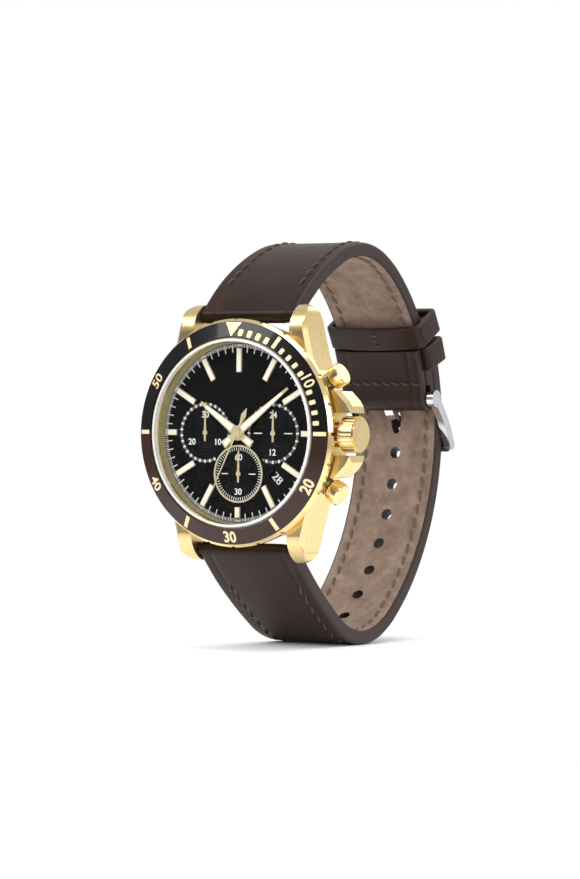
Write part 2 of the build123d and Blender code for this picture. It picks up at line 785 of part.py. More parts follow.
with BuildPart() as seconds_hand:
    with BuildSketch(face.offset(seconds_hand_height)):
        Circle(seconds_boss_radius)
        hand_outline(seconds_hand_angle, [
            (-seconds_tail_length, 0.05), (-3.9, 0.6), (-2.2, 0.2), (0, 0.2), (seconds_hand_length, 0.08),
        ])
    extrude(amount=0.08)
    with BuildSketch(face.offset(seconds_hand_height + 0.08)):
        Circle(seconds_cap_radius)
    extrude(amount=0.14)
finish(seconds_hand, "seconds_hand")

for counter, (x, z) in counter_places.items():
    with BuildPart() as counter_arbor:
        with BuildSketch(face.offset(arbor_start)):
            with Locations((x, z)):
                Circle(arbor_radius)
        extrude(amount=counter_hand_height - arbor_start)
    finish(counter_arbor, f"{counter}_arbor")
    with BuildPart() as counter_hand:
        with BuildSketch(face.offset(counter_hand_height)):
            with Locations((x, z)):
                Circle(counter_boss_radius)
                hand_outline(0, [(-1.7, 0.2), (-0.4, 0.22), (0.4, 0.26), (counter_hand_length, 0.13)])
        extrude(amount=0.08)
        with BuildSketch(face.offset(counter_hand_height + 0.08)):
            with Locations((x, z)):
                Circle(counter_cap_radius)
        extrude(amount=0.12)
    finish(counter_hand, f"{counter}_hand")

with BuildPart() as date_disc:
    with BuildSketch(face.offset(date_disc_height)):
        Circle(date_disc_outer / 2)
        Circle(date_disc_inner / 2, mode=Mode.SUBTRACT)
        with PolarLocations(date_disc_inner / 2, 31):
            Rectangle(0.7, 0.8, mode=Mode.SUBTRACT)
    extrude(amount=date_disc_thickness)
finish(date_disc, "date_disc")

# ---------------------------------------------------------------- crown and stem
with BuildPart() as crown_tube:
    with BuildSketch(crown_plane.offset(bore_radius)):
        Circle(crown_tube_radius)
        Circle(stem_radius + running_gap, mode=Mode.SUBTRACT)
    extrude(amount=crown_tube_end_x - bore_radius)
finish(crown_tube, "crown_tube")

with BuildPart() as winding_stem:
    with BuildSketch(crown_plane.offset(stem_inner_x)):
        Circle(stem_radius)
    extrude(amount=crown_outer_x - crown_wall / 2 - stem_inner_x)
    with BuildSketch(crown_plane.offset(stem_inner_x + 0.1)):
        Circle(0.85)
    extrude(amount=1.5)
    with BuildSketch(crown_plane.offset(stem_lever_x - 0.2)):
        Circle(stem_radius + 1)
        Circle(stem_radius - 0.25, mode=Mode.SUBTRACT)
    extrude(amount=0.4, mode=Mode.SUBTRACT)
finish(winding_stem, "winding_stem")

with BuildPart() as setting_lever:
    with BuildSketch(crown_plane.offset(stem_lever_x - 0.15)):
        Rectangle(4, 1.6)
        Circle(stem_radius - 0.25 + running_gap, mode=Mode.SUBTRACT)
    extrude(amount=0.3)
finish(setting_lever, "setting_lever")

with BuildPart() as crown_cap:
    with BuildSketch(crown_plane.offset(crown_inner_x)):
        Circle(crown_radius)
        with PolarLocations(crown_radius + 0.12, crown_ribs):
            Circle(crown_rib_radius, mode=Mode.SUBTRACT)
    extrude(amount=crown_length - crown_rim)
    with BuildSketch(crown_plane.offset(crown_outer_x - crown_rim)):
        Circle(crown_radius - crown_rim_inset)
    extrude(amount=crown_rim)
    with BuildSketch(crown_plane.offset(crown_inner_x)):
        Circle(crown_bore / 2)
    extrude(amount=crown_outer_x - crown_wall - crown_inner_x, mode=Mode.SUBTRACT)
    with BuildSketch(crown_plane.offset(crown_inner_x)):
        Circle(stem_radius)
    extrude(amount=crown_outer_x - crown_wall / 2 - crown_inner_x, mode=Mode.SUBTRACT)
finish(crown_cap, "crown_cap")

with BuildPart() as crown_gasket:
    with BuildSketch(crown_plane.offset(crown_inner_x + 0.3)):
        Circle(crown_bore / 2)
        Circle(crown_tube_radius + running_gap, mode=Mode.SUBTRACT)
    extrude(amount=0.4)
finish(crown_gasket, "crown_gasket")

# ---------------------------------------------------------------- push-pieces
with BuildPart() as pusher_tubes:
    for angle in (pusher_angle, -pusher_angle):
        with BuildSketch(pusher_plane(angle).offset(bore_radius + 0.4)):
            Circle(pusher_tube_radius)
            Circle(pusher_stem_radius + running_gap, mode=Mode.SUBTRACT)
        extrude(amount=pusher_tube_end - bore_radius - 0.4)
finish(pusher_tubes, "pusher_tubes")

for action, angle in (("start", pusher_angle), ("reset", -pusher_angle)):
    cap_cavity = pusher_cap_length - pusher_cap_wall
    with BuildPart() as pusher:
        with BuildSketch(pusher_plane(angle).offset(pusher_cap_start)):
            Circle(pusher_cap_diameter / 2)
        extrude(amount=pusher_cap_length)
        rims = pusher.edges().filter_by(GeomType.CIRCLE)
        chamfer(rims, length=0.25)
        with BuildSketch(pusher_plane(angle).offset(pusher_cap_start)):
            Circle(pusher_tube_radius + 0.4)
        extrude(amount=cap_cavity, mode=Mode.SUBTRACT)
        with BuildSketch(pusher_plane(angle).offset(pusher_stem_end)):
            Circle(pusher_stem_radius)
        extrude(amount=pusher_cap_start + cap_cavity - pusher_stem_end)
        with BuildSketch(pusher_plane(angle).offset(bore_radius)):
            Circle(pusher_stem_radius + 0.4)
        extrude(amount=0.3)
    finish(pusher, f"pusher_{action}")
    with BuildPart() as pusher_spring:
        coil_start = case_radius + 0.1
        coil_end = pusher_cap_start + cap_cavity
        coil_pitch = (coil_end - coil_start - spring_wire) / (spring_coils - 1)
        for turn in range(spring_coils):
            with BuildSketch(pusher_plane(angle).offset(coil_start + turn * coil_pitch)):
                Circle(pusher_tube_radius + spring_clearance + spring_wire)
                Circle(pusher_tube_radius + spring_clearance, mode=Mode.SUBTRACT)
            extrude(amount=spring_wire)
    finish(pusher_spring, f"pusher_{action}_spring")

# ---------------------------------------------------------------- spring bars
for end, z in (("upper", spring_bar_z), ("lower", -spring_bar_z)):
    with BuildPart() as spring_bar:
        with BuildSketch(side.offset(-strap_width / 2)):
            with Locations((-spring_bar_height, z)):
                Circle(spring_bar_radius)
        extrude(amount=strap_width)
        with BuildSketch(side.offset(-(lug_gap / 2 + spring_bar_pivot_length))):
            with Locations((-spring_bar_height, z)):
                Circle(spring_bar_pivot_radius)
        extrude(amount=lug_gap + 2 * spring_bar_pivot_length)
    finish(spring_bar, f"spring_bar_{end}")

# ---------------------------------------------------------------- upper strap half
bar_inset = fold_thickness / 2
bar_y, bar_z = loop_point(buckle_station, bar_inset)
wrap_radius = fold_thickness / 2
lining_stop = buckle_station - wrap_radius - 0.4

with BuildPart() as strap_upper_leather:
    with BuildSketch(side):
        strap_band(0, buckle_station, 0, leather_thickness)
        fold_inset = fold_thickness - leather_thickness
        strap_band(buckle_station - fold_length, buckle_station, fold_inset, fold_thickness)
        with Locations((bar_y, bar_z)):
            Circle(wrap_radius)
        with Locations((-spring_bar_height, spring_bar_z)):
            Circle(strap_end_radius)
            Circle(spring_bar_radius + running_gap, mode=Mode.SUBTRACT)
        with Locations((bar_y, bar_z)):
            Circle(buckle_bar_radius + running_gap, mode=Mode.SUBTRACT)
    extrude(amount=strap_width / 2, both=True)
    with BuildSketch(side):
        with Locations((bar_y, bar_z)):
            Circle(wrap_radius + 0.5)
    extrude(amount=tongue_width / 2 + 0.7, both=True, mode=Mode.SUBTRACT)
    taper_strap()
finish(strap_upper_leather, "strap_upper_leather")

with BuildPart() as strap_upper_lining:
    with BuildSketch(side):
        strap_band(2.6, lining_stop, leather_thickness, strap_thickness)
        with Locations((-spring_bar_height, spring_bar_z)):
            Circle(strap_end_radius, mode=Mode.SUBTRACT)
    extrude(amount=strap_width / 2, both=True)
    taper_strap()
finish(strap_upper_lining, "strap_upper_lining")

# ---------------------------------------------------------------- lower strap half
tail_station = tongue_hole_station - tail_length
tail_lining = -ply_gap - lining_thickness
tail_outer = -ply_gap - strap_thickness


def punch_holes():
    """Holes through both plies; the one in use is drawn out along the strap by the tongue."""
    for index in range(1, hole_count):
        with BuildSketch(loop_plane(tongue_hole_station + index * hole_pitch, tail_outer - 1)) as hole:
            Circle(hole_radius)
        extrude(hole.sketch, amount=strap_thickness + 2, mode=Mode.SUBTRACT)
    with BuildSketch(loop_plane(tongue_hole_station, tail_outer - 1)) as drawn_hole:
        SlotOverall(5.4, 2 * hole_radius, rotation=90)
    extrude(drawn_hole.sketch, amount=strap_thickness + 2, mode=Mode.SUBTRACT)


with BuildPart() as strap_lower_leather:
    with BuildSketch(side):
        strap_band(tail_station, loop_length, tail_outer, tail_lining)
        with Locations((-spring_bar_height, -spring_bar_z)):
            Circle(strap_end_radius)
            Circle(spring_bar_radius + running_gap, mode=Mode.SUBTRACT)
    extrude(amount=strap_width / 2, both=True)
    taper_strap()
    punch_holes()
finish(strap_lower_leather, "strap_lower_leather")

with BuildPart() as strap_lower_lining:
    with BuildSketch(side):
        strap_band(tail_station, loop_length - 2.6, tail_lining, -ply_gap)
        with Locations((-spring_bar_height, -spring_bar_z)):
            Circle(strap_end_radius, mode=Mode.SUBTRACT)
    extrude(amount=strap_width / 2, both=True)
    taper_strap()
    punch_holes()
finish(strap_lower_lining, "strap_lower_lining")

# ---------------------------------------------------------------- keepers
keeper_half = strap_end_width / 2 + keeper_gap + 0.15


def keeper_ring(station, outer, inner, inner_wall):
    """Rectangular loop across the strap: it clears the plies between two insets."""
    middle = (outer + inner) / 2
    half_depth = (inner - outer) / 2
    with BuildSketch(along_plane(station, middle).offset(-keeper_width / 2)) as ring:
        with Locations((0, (inner_wall - keeper_wall) / 2)):
            RectangleRounded(
                2 * (keeper_half + keeper_wall), 2 * half_depth + keeper_wall + inner_wall,
                min(inner_wall, keeper_wall) * 0.8,
            )
        Rectangle(2 * keeper_half, 2 * half_depth, mode=Mode.SUBTRACT)
    extrude(ring.sketch, amount=keeper_width)


with BuildPart() as fixed_keeper:
    keeper_ring(
        fixed_keeper_station, tail_outer - keeper_gap, strap_thickness + 0.12,
        fold_thickness - leather_thickness - strap_thickness - 0.24,
    )
finish(fixed_keeper, "fixed_keeper")

with BuildPart() as free_keeper:
    keeper_ring(free_keeper_station, tail_outer - keeper_gap, strap_thickness + keeper_gap, keeper_wall)
finish(free_keeper, "free_keeper")

# ---------------------------------------------------------------- buckle
arm_inner = strap_end_width / 2 + buckle_side_gap
arm_outer = arm_inner + buckle_wall
cross_station = buckle_station + 9.8
cross_inset = tail_outer - 0.2 - buckle_cross_thickness / 2
tongue_inset = cross_inset - (buckle_cross_thickness + tongue_thickness) / 2 - 0.2
cross_point = loop_point(cross_station, cross_inset)
elbow_point = loop_point(buckle_station + 4.6, -0.7)

with BuildPart() as buckle_frame:
    with BuildSketch(side.offset(arm_inner)):
        with Locations((bar_y, bar_z)):
            Circle(buckle_bar_radius + 0.9)
        with Locations(cross_point):
            Circle(1.0)
        with BuildLine():
            Spline((bar_y, bar_z), elbow_point, cross_point)
        trace(line_width=2.0)
        with Locations((bar_y, bar_z)):
            Circle(buckle_bar_radius, mode=Mode.SUBTRACT)
    extrude(amount=buckle_wall)
    mirror(about=Plane.YZ)
    with BuildSketch(loop_plane(cross_station, cross_inset - buckle_cross_thickness / 2)):
        RectangleRounded(2 * arm_outer, buckle_cross_height, 0.9)
    extrude(amount=buckle_cross_thickness)
finish(buckle_frame, "buckle_frame")

with BuildPart() as buckle_bar:
    with BuildSketch(side.offset(-arm_outer)):
        with Locations((bar_y, bar_z)):
            Circle(buckle_bar_radius)
    extrude(amount=2 * arm_outer)
finish(buckle_bar, "buckle_bar")

with BuildPart() as buckle_tongue:
    with BuildSketch(side):
        with BuildLine():
            Spline(
                (bar_y, bar_z), loop_point(buckle_station + 4.2, 0.9),
                loop_point(tongue_hole_station, -1.6), loop_point(cross_station - 1.9, tongue_inset),
                loop_point(cross_station + 2.4, tongue_inset),
            )
        trace(line_width=tongue_thickness)
        with Locations((bar_y, bar_z)):
            Circle(buckle_bar_radius + running_gap + 0.8)
            Circle(buckle_bar_radius + running_gap, mode=Mode.SUBTRACT)
    extrude(amount=tongue_width / 2, both=True)
finish(buckle_tongue, "buckle_tongue")
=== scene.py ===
# %% [markdown]
# # A chronograph wristwatch on a buckled leather strap
# The metal case, the dial train and the buckle come from the CAD model and are not touched.
# This lesson adds what a CAD kernel is poor at: leather, thread, print, luminous paste and finish.

import bpy
import numpy as np
from mathutils import Matrix


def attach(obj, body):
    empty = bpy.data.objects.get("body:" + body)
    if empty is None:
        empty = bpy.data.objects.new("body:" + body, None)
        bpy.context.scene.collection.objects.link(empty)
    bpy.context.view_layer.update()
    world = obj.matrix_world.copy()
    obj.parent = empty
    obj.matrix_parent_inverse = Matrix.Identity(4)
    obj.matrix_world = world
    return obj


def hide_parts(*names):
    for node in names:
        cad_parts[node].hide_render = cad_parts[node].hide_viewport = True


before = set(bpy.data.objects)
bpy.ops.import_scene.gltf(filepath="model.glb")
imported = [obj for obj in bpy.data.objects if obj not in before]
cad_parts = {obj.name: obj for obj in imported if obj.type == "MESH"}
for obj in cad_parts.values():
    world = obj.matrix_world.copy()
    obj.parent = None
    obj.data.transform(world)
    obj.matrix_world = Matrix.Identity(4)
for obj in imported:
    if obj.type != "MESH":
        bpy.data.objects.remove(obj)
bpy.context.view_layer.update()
MM = 0.001                      # lengths below are in millimetres

# %% [markdown]
# ## Camera
# The watch stands on its strap and is seen level, a third of a turn towards the crown, through a
# long lens, so that the round dial becomes an upright oval. Only the place and the lens are set.

# %% Camera
AIM = np.array((-8.38, 23.6, -1.23))
DISTANCE = 711.7
AZIMUTH, ELEVATION, ROLL = np.radians((32.19, 0.14, 0.72))
LENS = 141.44

outward = np.array((np.sin(AZIMUTH), -np.cos(AZIMUTH), 0.0))
back = outward * np.cos(ELEVATION) + np.array((0.0, 0.0, np.sin(ELEVATION)))
level = np.array((np.cos(AZIMUTH), np.sin(AZIMUTH), 0.0))
upright = np.cross(back, level)
right = np.cos(ROLL) * level + np.sin(ROLL) * upright
top = np.cos(ROLL) * upright - np.sin(ROLL) * level
eye = (AIM + DISTANCE * back) * MM
camera = bpy.data.objects.new("camera", bpy.data.cameras.new("camera"))
bpy.context.scene.collection.objects.link(camera)
camera.data.lens = LENS
camera.matrix_world = Matrix(np.vstack((np.column_stack((right, top, back, eye)), (0, 0, 0, 1))).tolist())
bpy.context.scene.camera = camera
print("camera", np.round(eye, 3).tolist(), "lens", LENS)

# %% [markdown]
# ## Node and material helpers
# Every finish below is a small tree of nodes. One function adds a node, and one builds the recipe
# that most finishes share: noise of the real grain size moves colour, gloss and height a little.

# %% Node helpers
def linear(code, alpha=1.0):
    """Linear colour of an sRGB hex code: value/12.92 near black, ((value+0.055)/1.055)^2.4 above."""
    value = np.array([int(code[i:i + 2], 16) for i in (1, 3, 5)]) / 255
    bright = ((value + 0.055) / 1.055) ** 2.4
    return (*np.where(value <= 0.04045, value / 12.92, bright).tolist(), alpha)


def add(tree, kind, inputs=None, stops=(), **settings):
    """One node, with its properties, its sockets' constants or links, and a colour ramp's stops."""
    made = tree.nodes.new("ShaderNode" + kind)
    for name, value in settings.items():
        setattr(made, name, value)
    for name, value in (inputs or {}).items():
        if isinstance(value, bpy.types.NodeSocket):
            tree.links.new(value, made.inputs[name])
        else:
            made.inputs[name].default_value = value
    for index, (place, colour) in enumerate(stops):
        ramp = made.color_ramp.elements
        stop = ramp[index] if index < 2 else ramp.new(place)
        stop.position, stop.color = place, colour
    return made


def finish_start(name, metallic=0.0, **constants):
    """An empty material with a Principled shader: returns it, its tree, shader and Object coordinates."""
    made = bpy.data.materials.new(name)
    made.use_nodes = True
    tree = made.node_tree
    tree.nodes.clear()
    shader = add(tree, "BsdfPrincipled", {"Metallic": metallic, **constants})
    add(tree, "OutputMaterial", {"Surface": shader.outputs[0]})
    return made, tree, shader, add(tree, "TexCoord").outputs["Object"]


def link_roughness(tree, shader, source, low, high):
    """Roughness from low to high as the source goes from 0 to 1."""
    gloss = add(tree, "MapRange", {"Value": source, "To Min": low, "To Max": high})
    tree.links.new(gloss.outputs[0], shader.inputs["Roughness"])


def link_bump(tree, shader, source, depth):
    """Relief whose full height, in millimetres, is where the source is 1."""
    relief = add(tree, "Bump", {"Height": source, "Distance": depth * MM})
    tree.links.new(relief.outputs[0], shader.inputs["Normal"])


def grained(name, colours, roughness, grain, depth, metallic=0.0, stretch=(1, 1, 1), **constants):
    """Noise with cells of grain mm moves colour, roughness and a relief of depth mm; stretch draws it out."""
    made, tree, shader, place = finish_start(name, metallic, **constants)
    drawn = add(tree, "Mapping", {"Vector": place, "Scale": stretch}).outputs[0]
    noise = add(tree, "TexNoise", {"Vector": drawn, "Scale": 1 / (grain * MM), "Detail": 3.0}).outputs[0]
    tint = add(tree, "ValToRGB", {"Fac": noise}, [(0.25, linear(colours[0])), (0.75, linear(colours[1]))])
    tree.links.new(tint.outputs[0], shader.inputs["Base Color"])
    link_roughness(tree, shader, noise, *roughness)
    link_bump(tree, shader, noise, depth)
    return made


# %% [markdown]
# ## Metals
# The case is steel with a pale yellow gold coating. It is brushed along its length on the lugs, so
# its lines are drawn out along Z, and buffed on the bezel, crown and buttons, where only a faint
# haze is left. Hands and markers are cut with fine facets that scatter light, so they are the least
# mirror-like. The buckle, case back and spring bars are bare stainless steel.

# %% Metals
METALS = {
    "gold_brushed": grained("gold_coating_brushed", ("#e6c98a", "#f2dca6"), (0.24, 0.36), 0.35, 0.0035, 1.0,
                            (1, 1, 0.05)),
    "gold_polished": grained("gold_coating_polished", ("#ecd08e", "#f6e0ab"), (0.10, 0.17), 2.5, 0.002, 1.0),
    "gold_facet": grained("gold_coating_facet_cut", ("#ecd9a8", "#f8ebc6"), (0.28, 0.4), 0.6, 0.002, 0.55),
    "gold_satin": grained("gold_coating_satin", ("#a89a6c", "#b9ab7e"), (0.3, 0.42), 0.5, 0.002, 0.4),
    "steel_brushed": grained("stainless_steel_brushed", ("#b9bbbd", "#d3d5d6"), (0.22, 0.36), 0.3, 0.003, 1.0,
                             (0.06, 1, 1)),
    "steel_polished": grained("stainless_steel_polished", ("#d2d5d8", "#e6e8ea"), (0.08, 0.16), 2.0, 0.002,
                              1.0),
    "spring_steel": grained("spring_steel_drawn", ("#9fa2a6", "#c3c6c9"), (0.2, 0.34), 0.2, 0.003, 1.0),
    "brass": grained("brass_machined", ("#b08a45", "#cfab64"), (0.22, 0.38), 0.25, 0.003, 1.0),
    "copper": grained("copper_enamelled_wire", ("#8f4a24", "#c0703c"), (0.25, 0.4), 0.12, 0.02, 1.0,
                      (1, 1, 0.1)),
    "battery_can": grained("nickel_plated_can", ("#b7b8b6", "#cfd0cd"), (0.2, 0.32), 0.4, 0.003, 1.0),
}
print(len(METALS), "metals")

# %% [markdown]
# ## Plastics, rubber and the white gasket
# Moulded nylon is dull with a fine mould texture, rubber is almost matt, and the polished edge of
# the glass with its white gasket reads as one bright ring round the dial; the gasket's white also
# serves as a painted reflection on the glass's edge.

# %% Plastics
PLASTICS = {
    "gasket": grained("nylon_gasket_white", ("#d5d4cf", "#e9e8e4"), (0.18, 0.3), 0.6, 0.004, 0.0),
    "holder": grained("nylon_moulded_ivory", ("#b8b4a8", "#cbc8bd"), (0.5, 0.65), 0.15, 0.01, 0.0),
    "rubber": grained("nitrile_rubber_black", ("#141414", "#232323"), (0.6, 0.75), 0.1, 0.008, 0.0),
    "board": grained("circuit_board_lacquer", ("#0d3a22", "#165233"), (0.25, 0.4), 0.5, 0.01, 0.0),
}
print(len(PLASTICS), "plastics")

# %% [markdown]
# ## Luminous paste and white print
# Luminous pigment is bound in clear lacquer and dries to a chalky cream with tiny grains. Pad print
# is a thin film of white ink. Both are dielectric, and the paste is the rougher of the two.

# %% Paste and print
PRINTS = {
    "paste": grained("luminous_paste_cream", ("#efe6d0", "#fbf5e6"), (0.45, 0.6), 0.08, 0.01),
    "paste_warm": grained("luminous_paste_warm", ("#e3cda0", "#f2e0bb"), (0.4, 0.55), 0.08, 0.01),
    "ink": grained("pad_print_white", ("#d9d9d6", "#eeeeec"), (0.4, 0.55), 0.05, 0.002),
    "ink_grey": grained("pad_print_grey", ("#6c6c6c", "#868686"), (0.4, 0.55), 0.05, 0.002),
}
print(len(PRINTS), "prints")

# %% [markdown]
# ## Dial
# The dial is a brass disc under black satin lacquer. Fine metal dust in the lacquer shows as slightly
# lighter specks, which are the dust's own tone and also a painted glint in the lacquer's colour, and
# each small counter is turned with concentric grooves. A groove is a sine of the distance from the
# counter's centre, kept only inside that counter's radius.

# %% Dial lacquer
COUNTERS = {"left": (-7.96, 0.0), "right": (7.96, 0.0), "bottom": (0.0, -8.05)}
COUNTER_FIELD = {"left": 5.2, "right": 5.2, "bottom": 5.3}
GROOVE_PITCH = 0.32


def dial_lacquer():
    """Black lacquer whose relief is the sum of one masked ring wave for each counter."""
    made, tree, shader, place = finish_start("dial_lacquer_black", 0.0, **{"Specular IOR Level": 0.2})
    dust_and_glint = add(tree, "TexNoise", {"Vector": place, "Scale": 1 / (0.06 * MM), "Detail": 2.0}).outputs[0]
    # lighter specks: the metal dust's own tone plus a painted glint
    tint = add(tree, "ValToRGB", {"Fac": dust_and_glint}, [(0.45, linear("#080809")), (0.8, linear("#161618"))])
    tree.links.new(tint.outputs[0], shader.inputs["Base Color"])
    link_roughness(tree, shader, dust_and_glint, 0.32, 0.5)
    total = None
    for name, (x, z) in COUNTERS.items():
        moved = add(tree, "Mapping", {"Vector": place, "Location": (-x * MM, 8.6 * MM, -z * MM)}).outputs[0]
        far = add(tree, "VectorMath", {0: moved}, operation="LENGTH").outputs["Value"]
        turns = add(tree, "Math", {0: far, 1: 2 * np.pi / (GROOVE_PITCH * MM)}, operation="MULTIPLY").outputs[0]
        wave = add(tree, "Math", {0: turns}, operation="SINE").outputs[0]
        inside = add(tree, "Math", {0: far, 1: COUNTER_FIELD[name] * MM}, operation="LESS_THAN").outputs[0]
        groove = add(tree, "Math", {0: wave, 1: inside}, operation="MULTIPLY").outputs[0]
        if total is None:
            total = groove
        else:
            total = add(tree, "Math", {0: total, 1: groove}, operation="ADD").outputs[0]
    link_bump(tree, shader, total, 0.012)
    return made


DIAL = dial_lacquer()
print("dial lacquer with", len(DIAL.node_tree.nodes), "nodes")

# %% [markdown]
# ## Bezel insert
# The insert is a glossy enamelled ring in two colours, black above the nine to three line and dark
# brown below it. The split is a step in Object Z, so it turns with the bezel.

# %% Bezel enamel
def bezel_enamel():
    """Colour ramp with a hard step at z = 0 under a clear coat, and a very fine orange peel."""
    gloss = {"Coat Weight": 0.4, "Coat Roughness": 0.06, "Specular IOR Level": 0.2}
    made, tree, shader, place = finish_start("bezel_enamel_two_tone", 0.0, **gloss)
    height = add(tree, "SeparateXYZ", {"Vector": place}).outputs["Z"]
    half = add(tree, "MapRange", {"Value": height, "From Min": -0.05 * MM, "From Max": 0.05 * MM}).outputs[0]
    speck = add(tree, "TexNoise", {"Vector": place, "Scale": 1 / (0.3 * MM), "Detail": 2.0}).outputs[0]
    mixed = add(tree, "Math", {0: speck, 1: 0.06}, operation="MULTIPLY").outputs[0]
    factor = add(tree, "Math", {0: half, 1: mixed}, operation="ADD").outputs[0]
    stops = [(0.0, linear("#2e1a14")), (0.06, linear("#39221a")),
             (0.9, linear("#060505")), (1.0, linear("#0b0a0a"))]
    tint = add(tree, "ValToRGB", {"Fac": factor}, stops)
    tree.links.new(tint.outputs[0], shader.inputs["Base Color"])
    link_roughness(tree, shader, speck, 0.22, 0.34)
    link_bump(tree, shader, speck, 0.001)
    return made


ENAMEL = bezel_enamel()
print("bezel enamel ready")

# %% [markdown]
# ## Watch glass
# Flat mineral glass with an anti-reflective layer reflects well under one part in a hundred. Straight
# transparency mixed with gloss by Fresnel keeps the print under it sharp, and stays quiet in a render.
# Fresnel would call the inner side of each face a full mirror at a low angle, so that side gets none.

# %% Watch glass
def watch_glass():
    """Transparent, with a mirror share that follows Fresnel for a coated surface, on its outside only."""
    made = bpy.data.materials.new("mineral_glass_coated")
    made.use_nodes = True
    tree = made.node_tree
    tree.nodes.clear()
    place = add(tree, "TexCoord").outputs["Object"]
    haze = add(tree, "TexNoise", {"Vector": place, "Scale": 1 / (6 * MM)}).outputs[0]
    soft = add(tree, "MapRange", {"Value": haze, "To Min": 0.01, "To Max": 0.04}).outputs[0]
    clear = add(tree, "BsdfTransparent", {"Color": (0.985, 0.99, 0.988, 1)}).outputs[0]
    gloss = add(tree, "BsdfGlossy", {"Color": (0.9, 0.92, 1.0, 1), "Roughness": soft}).outputs[0]
    mirror = add(tree, "Fresnel", {"IOR": 1.12}).outputs[0]
    inside = add(tree, "NewGeometry").outputs["Backfacing"]
    outside = add(tree, "Math", {0: 1.0, 1: inside}, operation="SUBTRACT").outputs[0]
    share = add(tree, "Math", {0: mirror, 1: outside}, operation="MULTIPLY").outputs[0]
    both = add(tree, "MixShader", {0: share, 1: clear, 2: gloss}).outputs[0]
    add(tree, "OutputMaterial", {"Surface": both})
    return made


GLASS = watch_glass()
print("glass ready")

# %% [markdown]
# ## Leather, lining, edge paint and thread
# The outer leather is smooth calf with a semi-gloss dressing: fine pores, slow changes of tone and
# faint creases. The lining is nubuck: matt, mottled and a little fuzzy, so it gets sheen. Cut edges
# are sealed with paint, and the thread is waxed polyester whose twist is a wave along its length;
# the thread's colour carries a painted highlight on the crown of each ply and painted shade between.

# %% Leather family
PORE = 0.45                     # real calf pores are about 0.15 mm; drawn coarser so that they show


def calf_leather():
    """Cells for pores plus fine noise for relief and gloss, slow noise for tone, under a thin coat of dressing.
    """
    dressing = {"Coat Weight": 0.08, "Coat Roughness": 0.3, "Specular IOR Level": 0.2}
    made, tree, shader, place = finish_start("calf_leather_brown", 0.0, **dressing)
    slow = add(tree, "TexNoise", {"Vector": place, "Scale": 1 / (9 * MM), "Detail": 4.0}).outputs[0]
    fine = add(tree, "TexNoise", {"Vector": place, "Scale": 1 / (0.8 * MM), "Detail": 3.0}).outputs[0]
    pores = add(tree, "TexVoronoi", {"Vector": place, "Scale": 1 / (PORE * MM)}).outputs["Distance"]
    stops = [(0.2, linear("#1d0f09")), (0.55, linear("#2a1810")), (0.85, linear("#362117"))]
    tint = add(tree, "ValToRGB", {"Fac": slow}, stops)
    tree.links.new(tint.outputs[0], shader.inputs["Base Color"])
    link_roughness(tree, shader, fine, 0.3, 0.44)
    height = add(tree, "Math", {0: pores, 1: fine}, operation="ADD").outputs[0]
    link_bump(tree, shader, height, 0.022)
    return made


def nubuck_lining():
    """Mottled matt leather: two noises for the nap's tone, a short relief and a dusty sheen."""
    sheen = {"Sheen Weight": 0.35, "Sheen Roughness": 0.5, "Sheen Tint": linear("#c9b6a5")}
    made, tree, shader, place = finish_start("nubuck_lining_taupe", 0.0, **sheen)
    mottle = {"Vector": place, "Scale": 1 / (3.5 * MM), "Detail": 5.0, "Roughness": 0.7}
    patch = add(tree, "TexNoise", mottle).outputs[0]
    nap = add(tree, "TexNoise", {"Vector": place, "Scale": 1 / (0.35 * MM), "Detail": 3.0}).outputs[0]
    stops = [(0.3, linear("#6f5a4b")), (0.5, linear("#857061")), (0.7, linear("#9b8675"))]
    tint = add(tree, "ValToRGB", {"Fac": patch}, stops)
    tree.links.new(tint.outputs[0], shader.inputs["Base Color"])
    link_roughness(tree, shader, nap, 0.8, 0.95)
    link_bump(tree, shader, nap, 0.04)
    return made


def waxed_thread(name, groove_shade, crown_highlight):
    """Twisted plies as diagonal bands across the stitch: their relief, plus a painted highlight on the crown of
    a ply and painted shade between.
    """
    made, tree, shader, place = finish_start(name)
    plies = {"Vector": place, "Scale": 1 / (0.5 * MM), "Distortion": 1.5}
    twist_with_painted_shade = add(tree, "TexWave", plies, bands_direction="DIAGONAL").outputs["Fac"]
    # the ramp paints shade in the grooves between plies and a highlight on their crowns
    tint = add(tree, "ValToRGB", {"Fac": twist_with_painted_shade}, [(0.2, linear(groove_shade)), (0.8, linear(crown_highlight))])
    tree.links.new(tint.outputs[0], shader.inputs["Base Color"])
    link_roughness(tree, shader, twist_with_painted_shade, 0.45, 0.6)
    link_bump(tree, shader, twist_with_painted_shade, 0.02)
    return made


CALF = calf_leather()
NUBUCK = nubuck_lining()
EDGE_PAINT = grained("edge_paint_brown", ("#2a1f1c", "#3a2e2a"), (0.45, 0.6), 0.4, 0.01,
                     **{"Specular IOR Level": 0.3})
# thread colours: painted shade between the plies first, then a painted highlight on their crowns
THREAD = waxed_thread("waxed_thread_brown", "#2a1a12", "#57402f")
THREAD_INSIDE = waxed_thread("waxed_thread_taupe", "#4a382c", "#78614f")
print("leather family ready")

# %% [markdown]
# ## Finish for every CAD node
# Each node gets the finish of its real counterpart, by name.

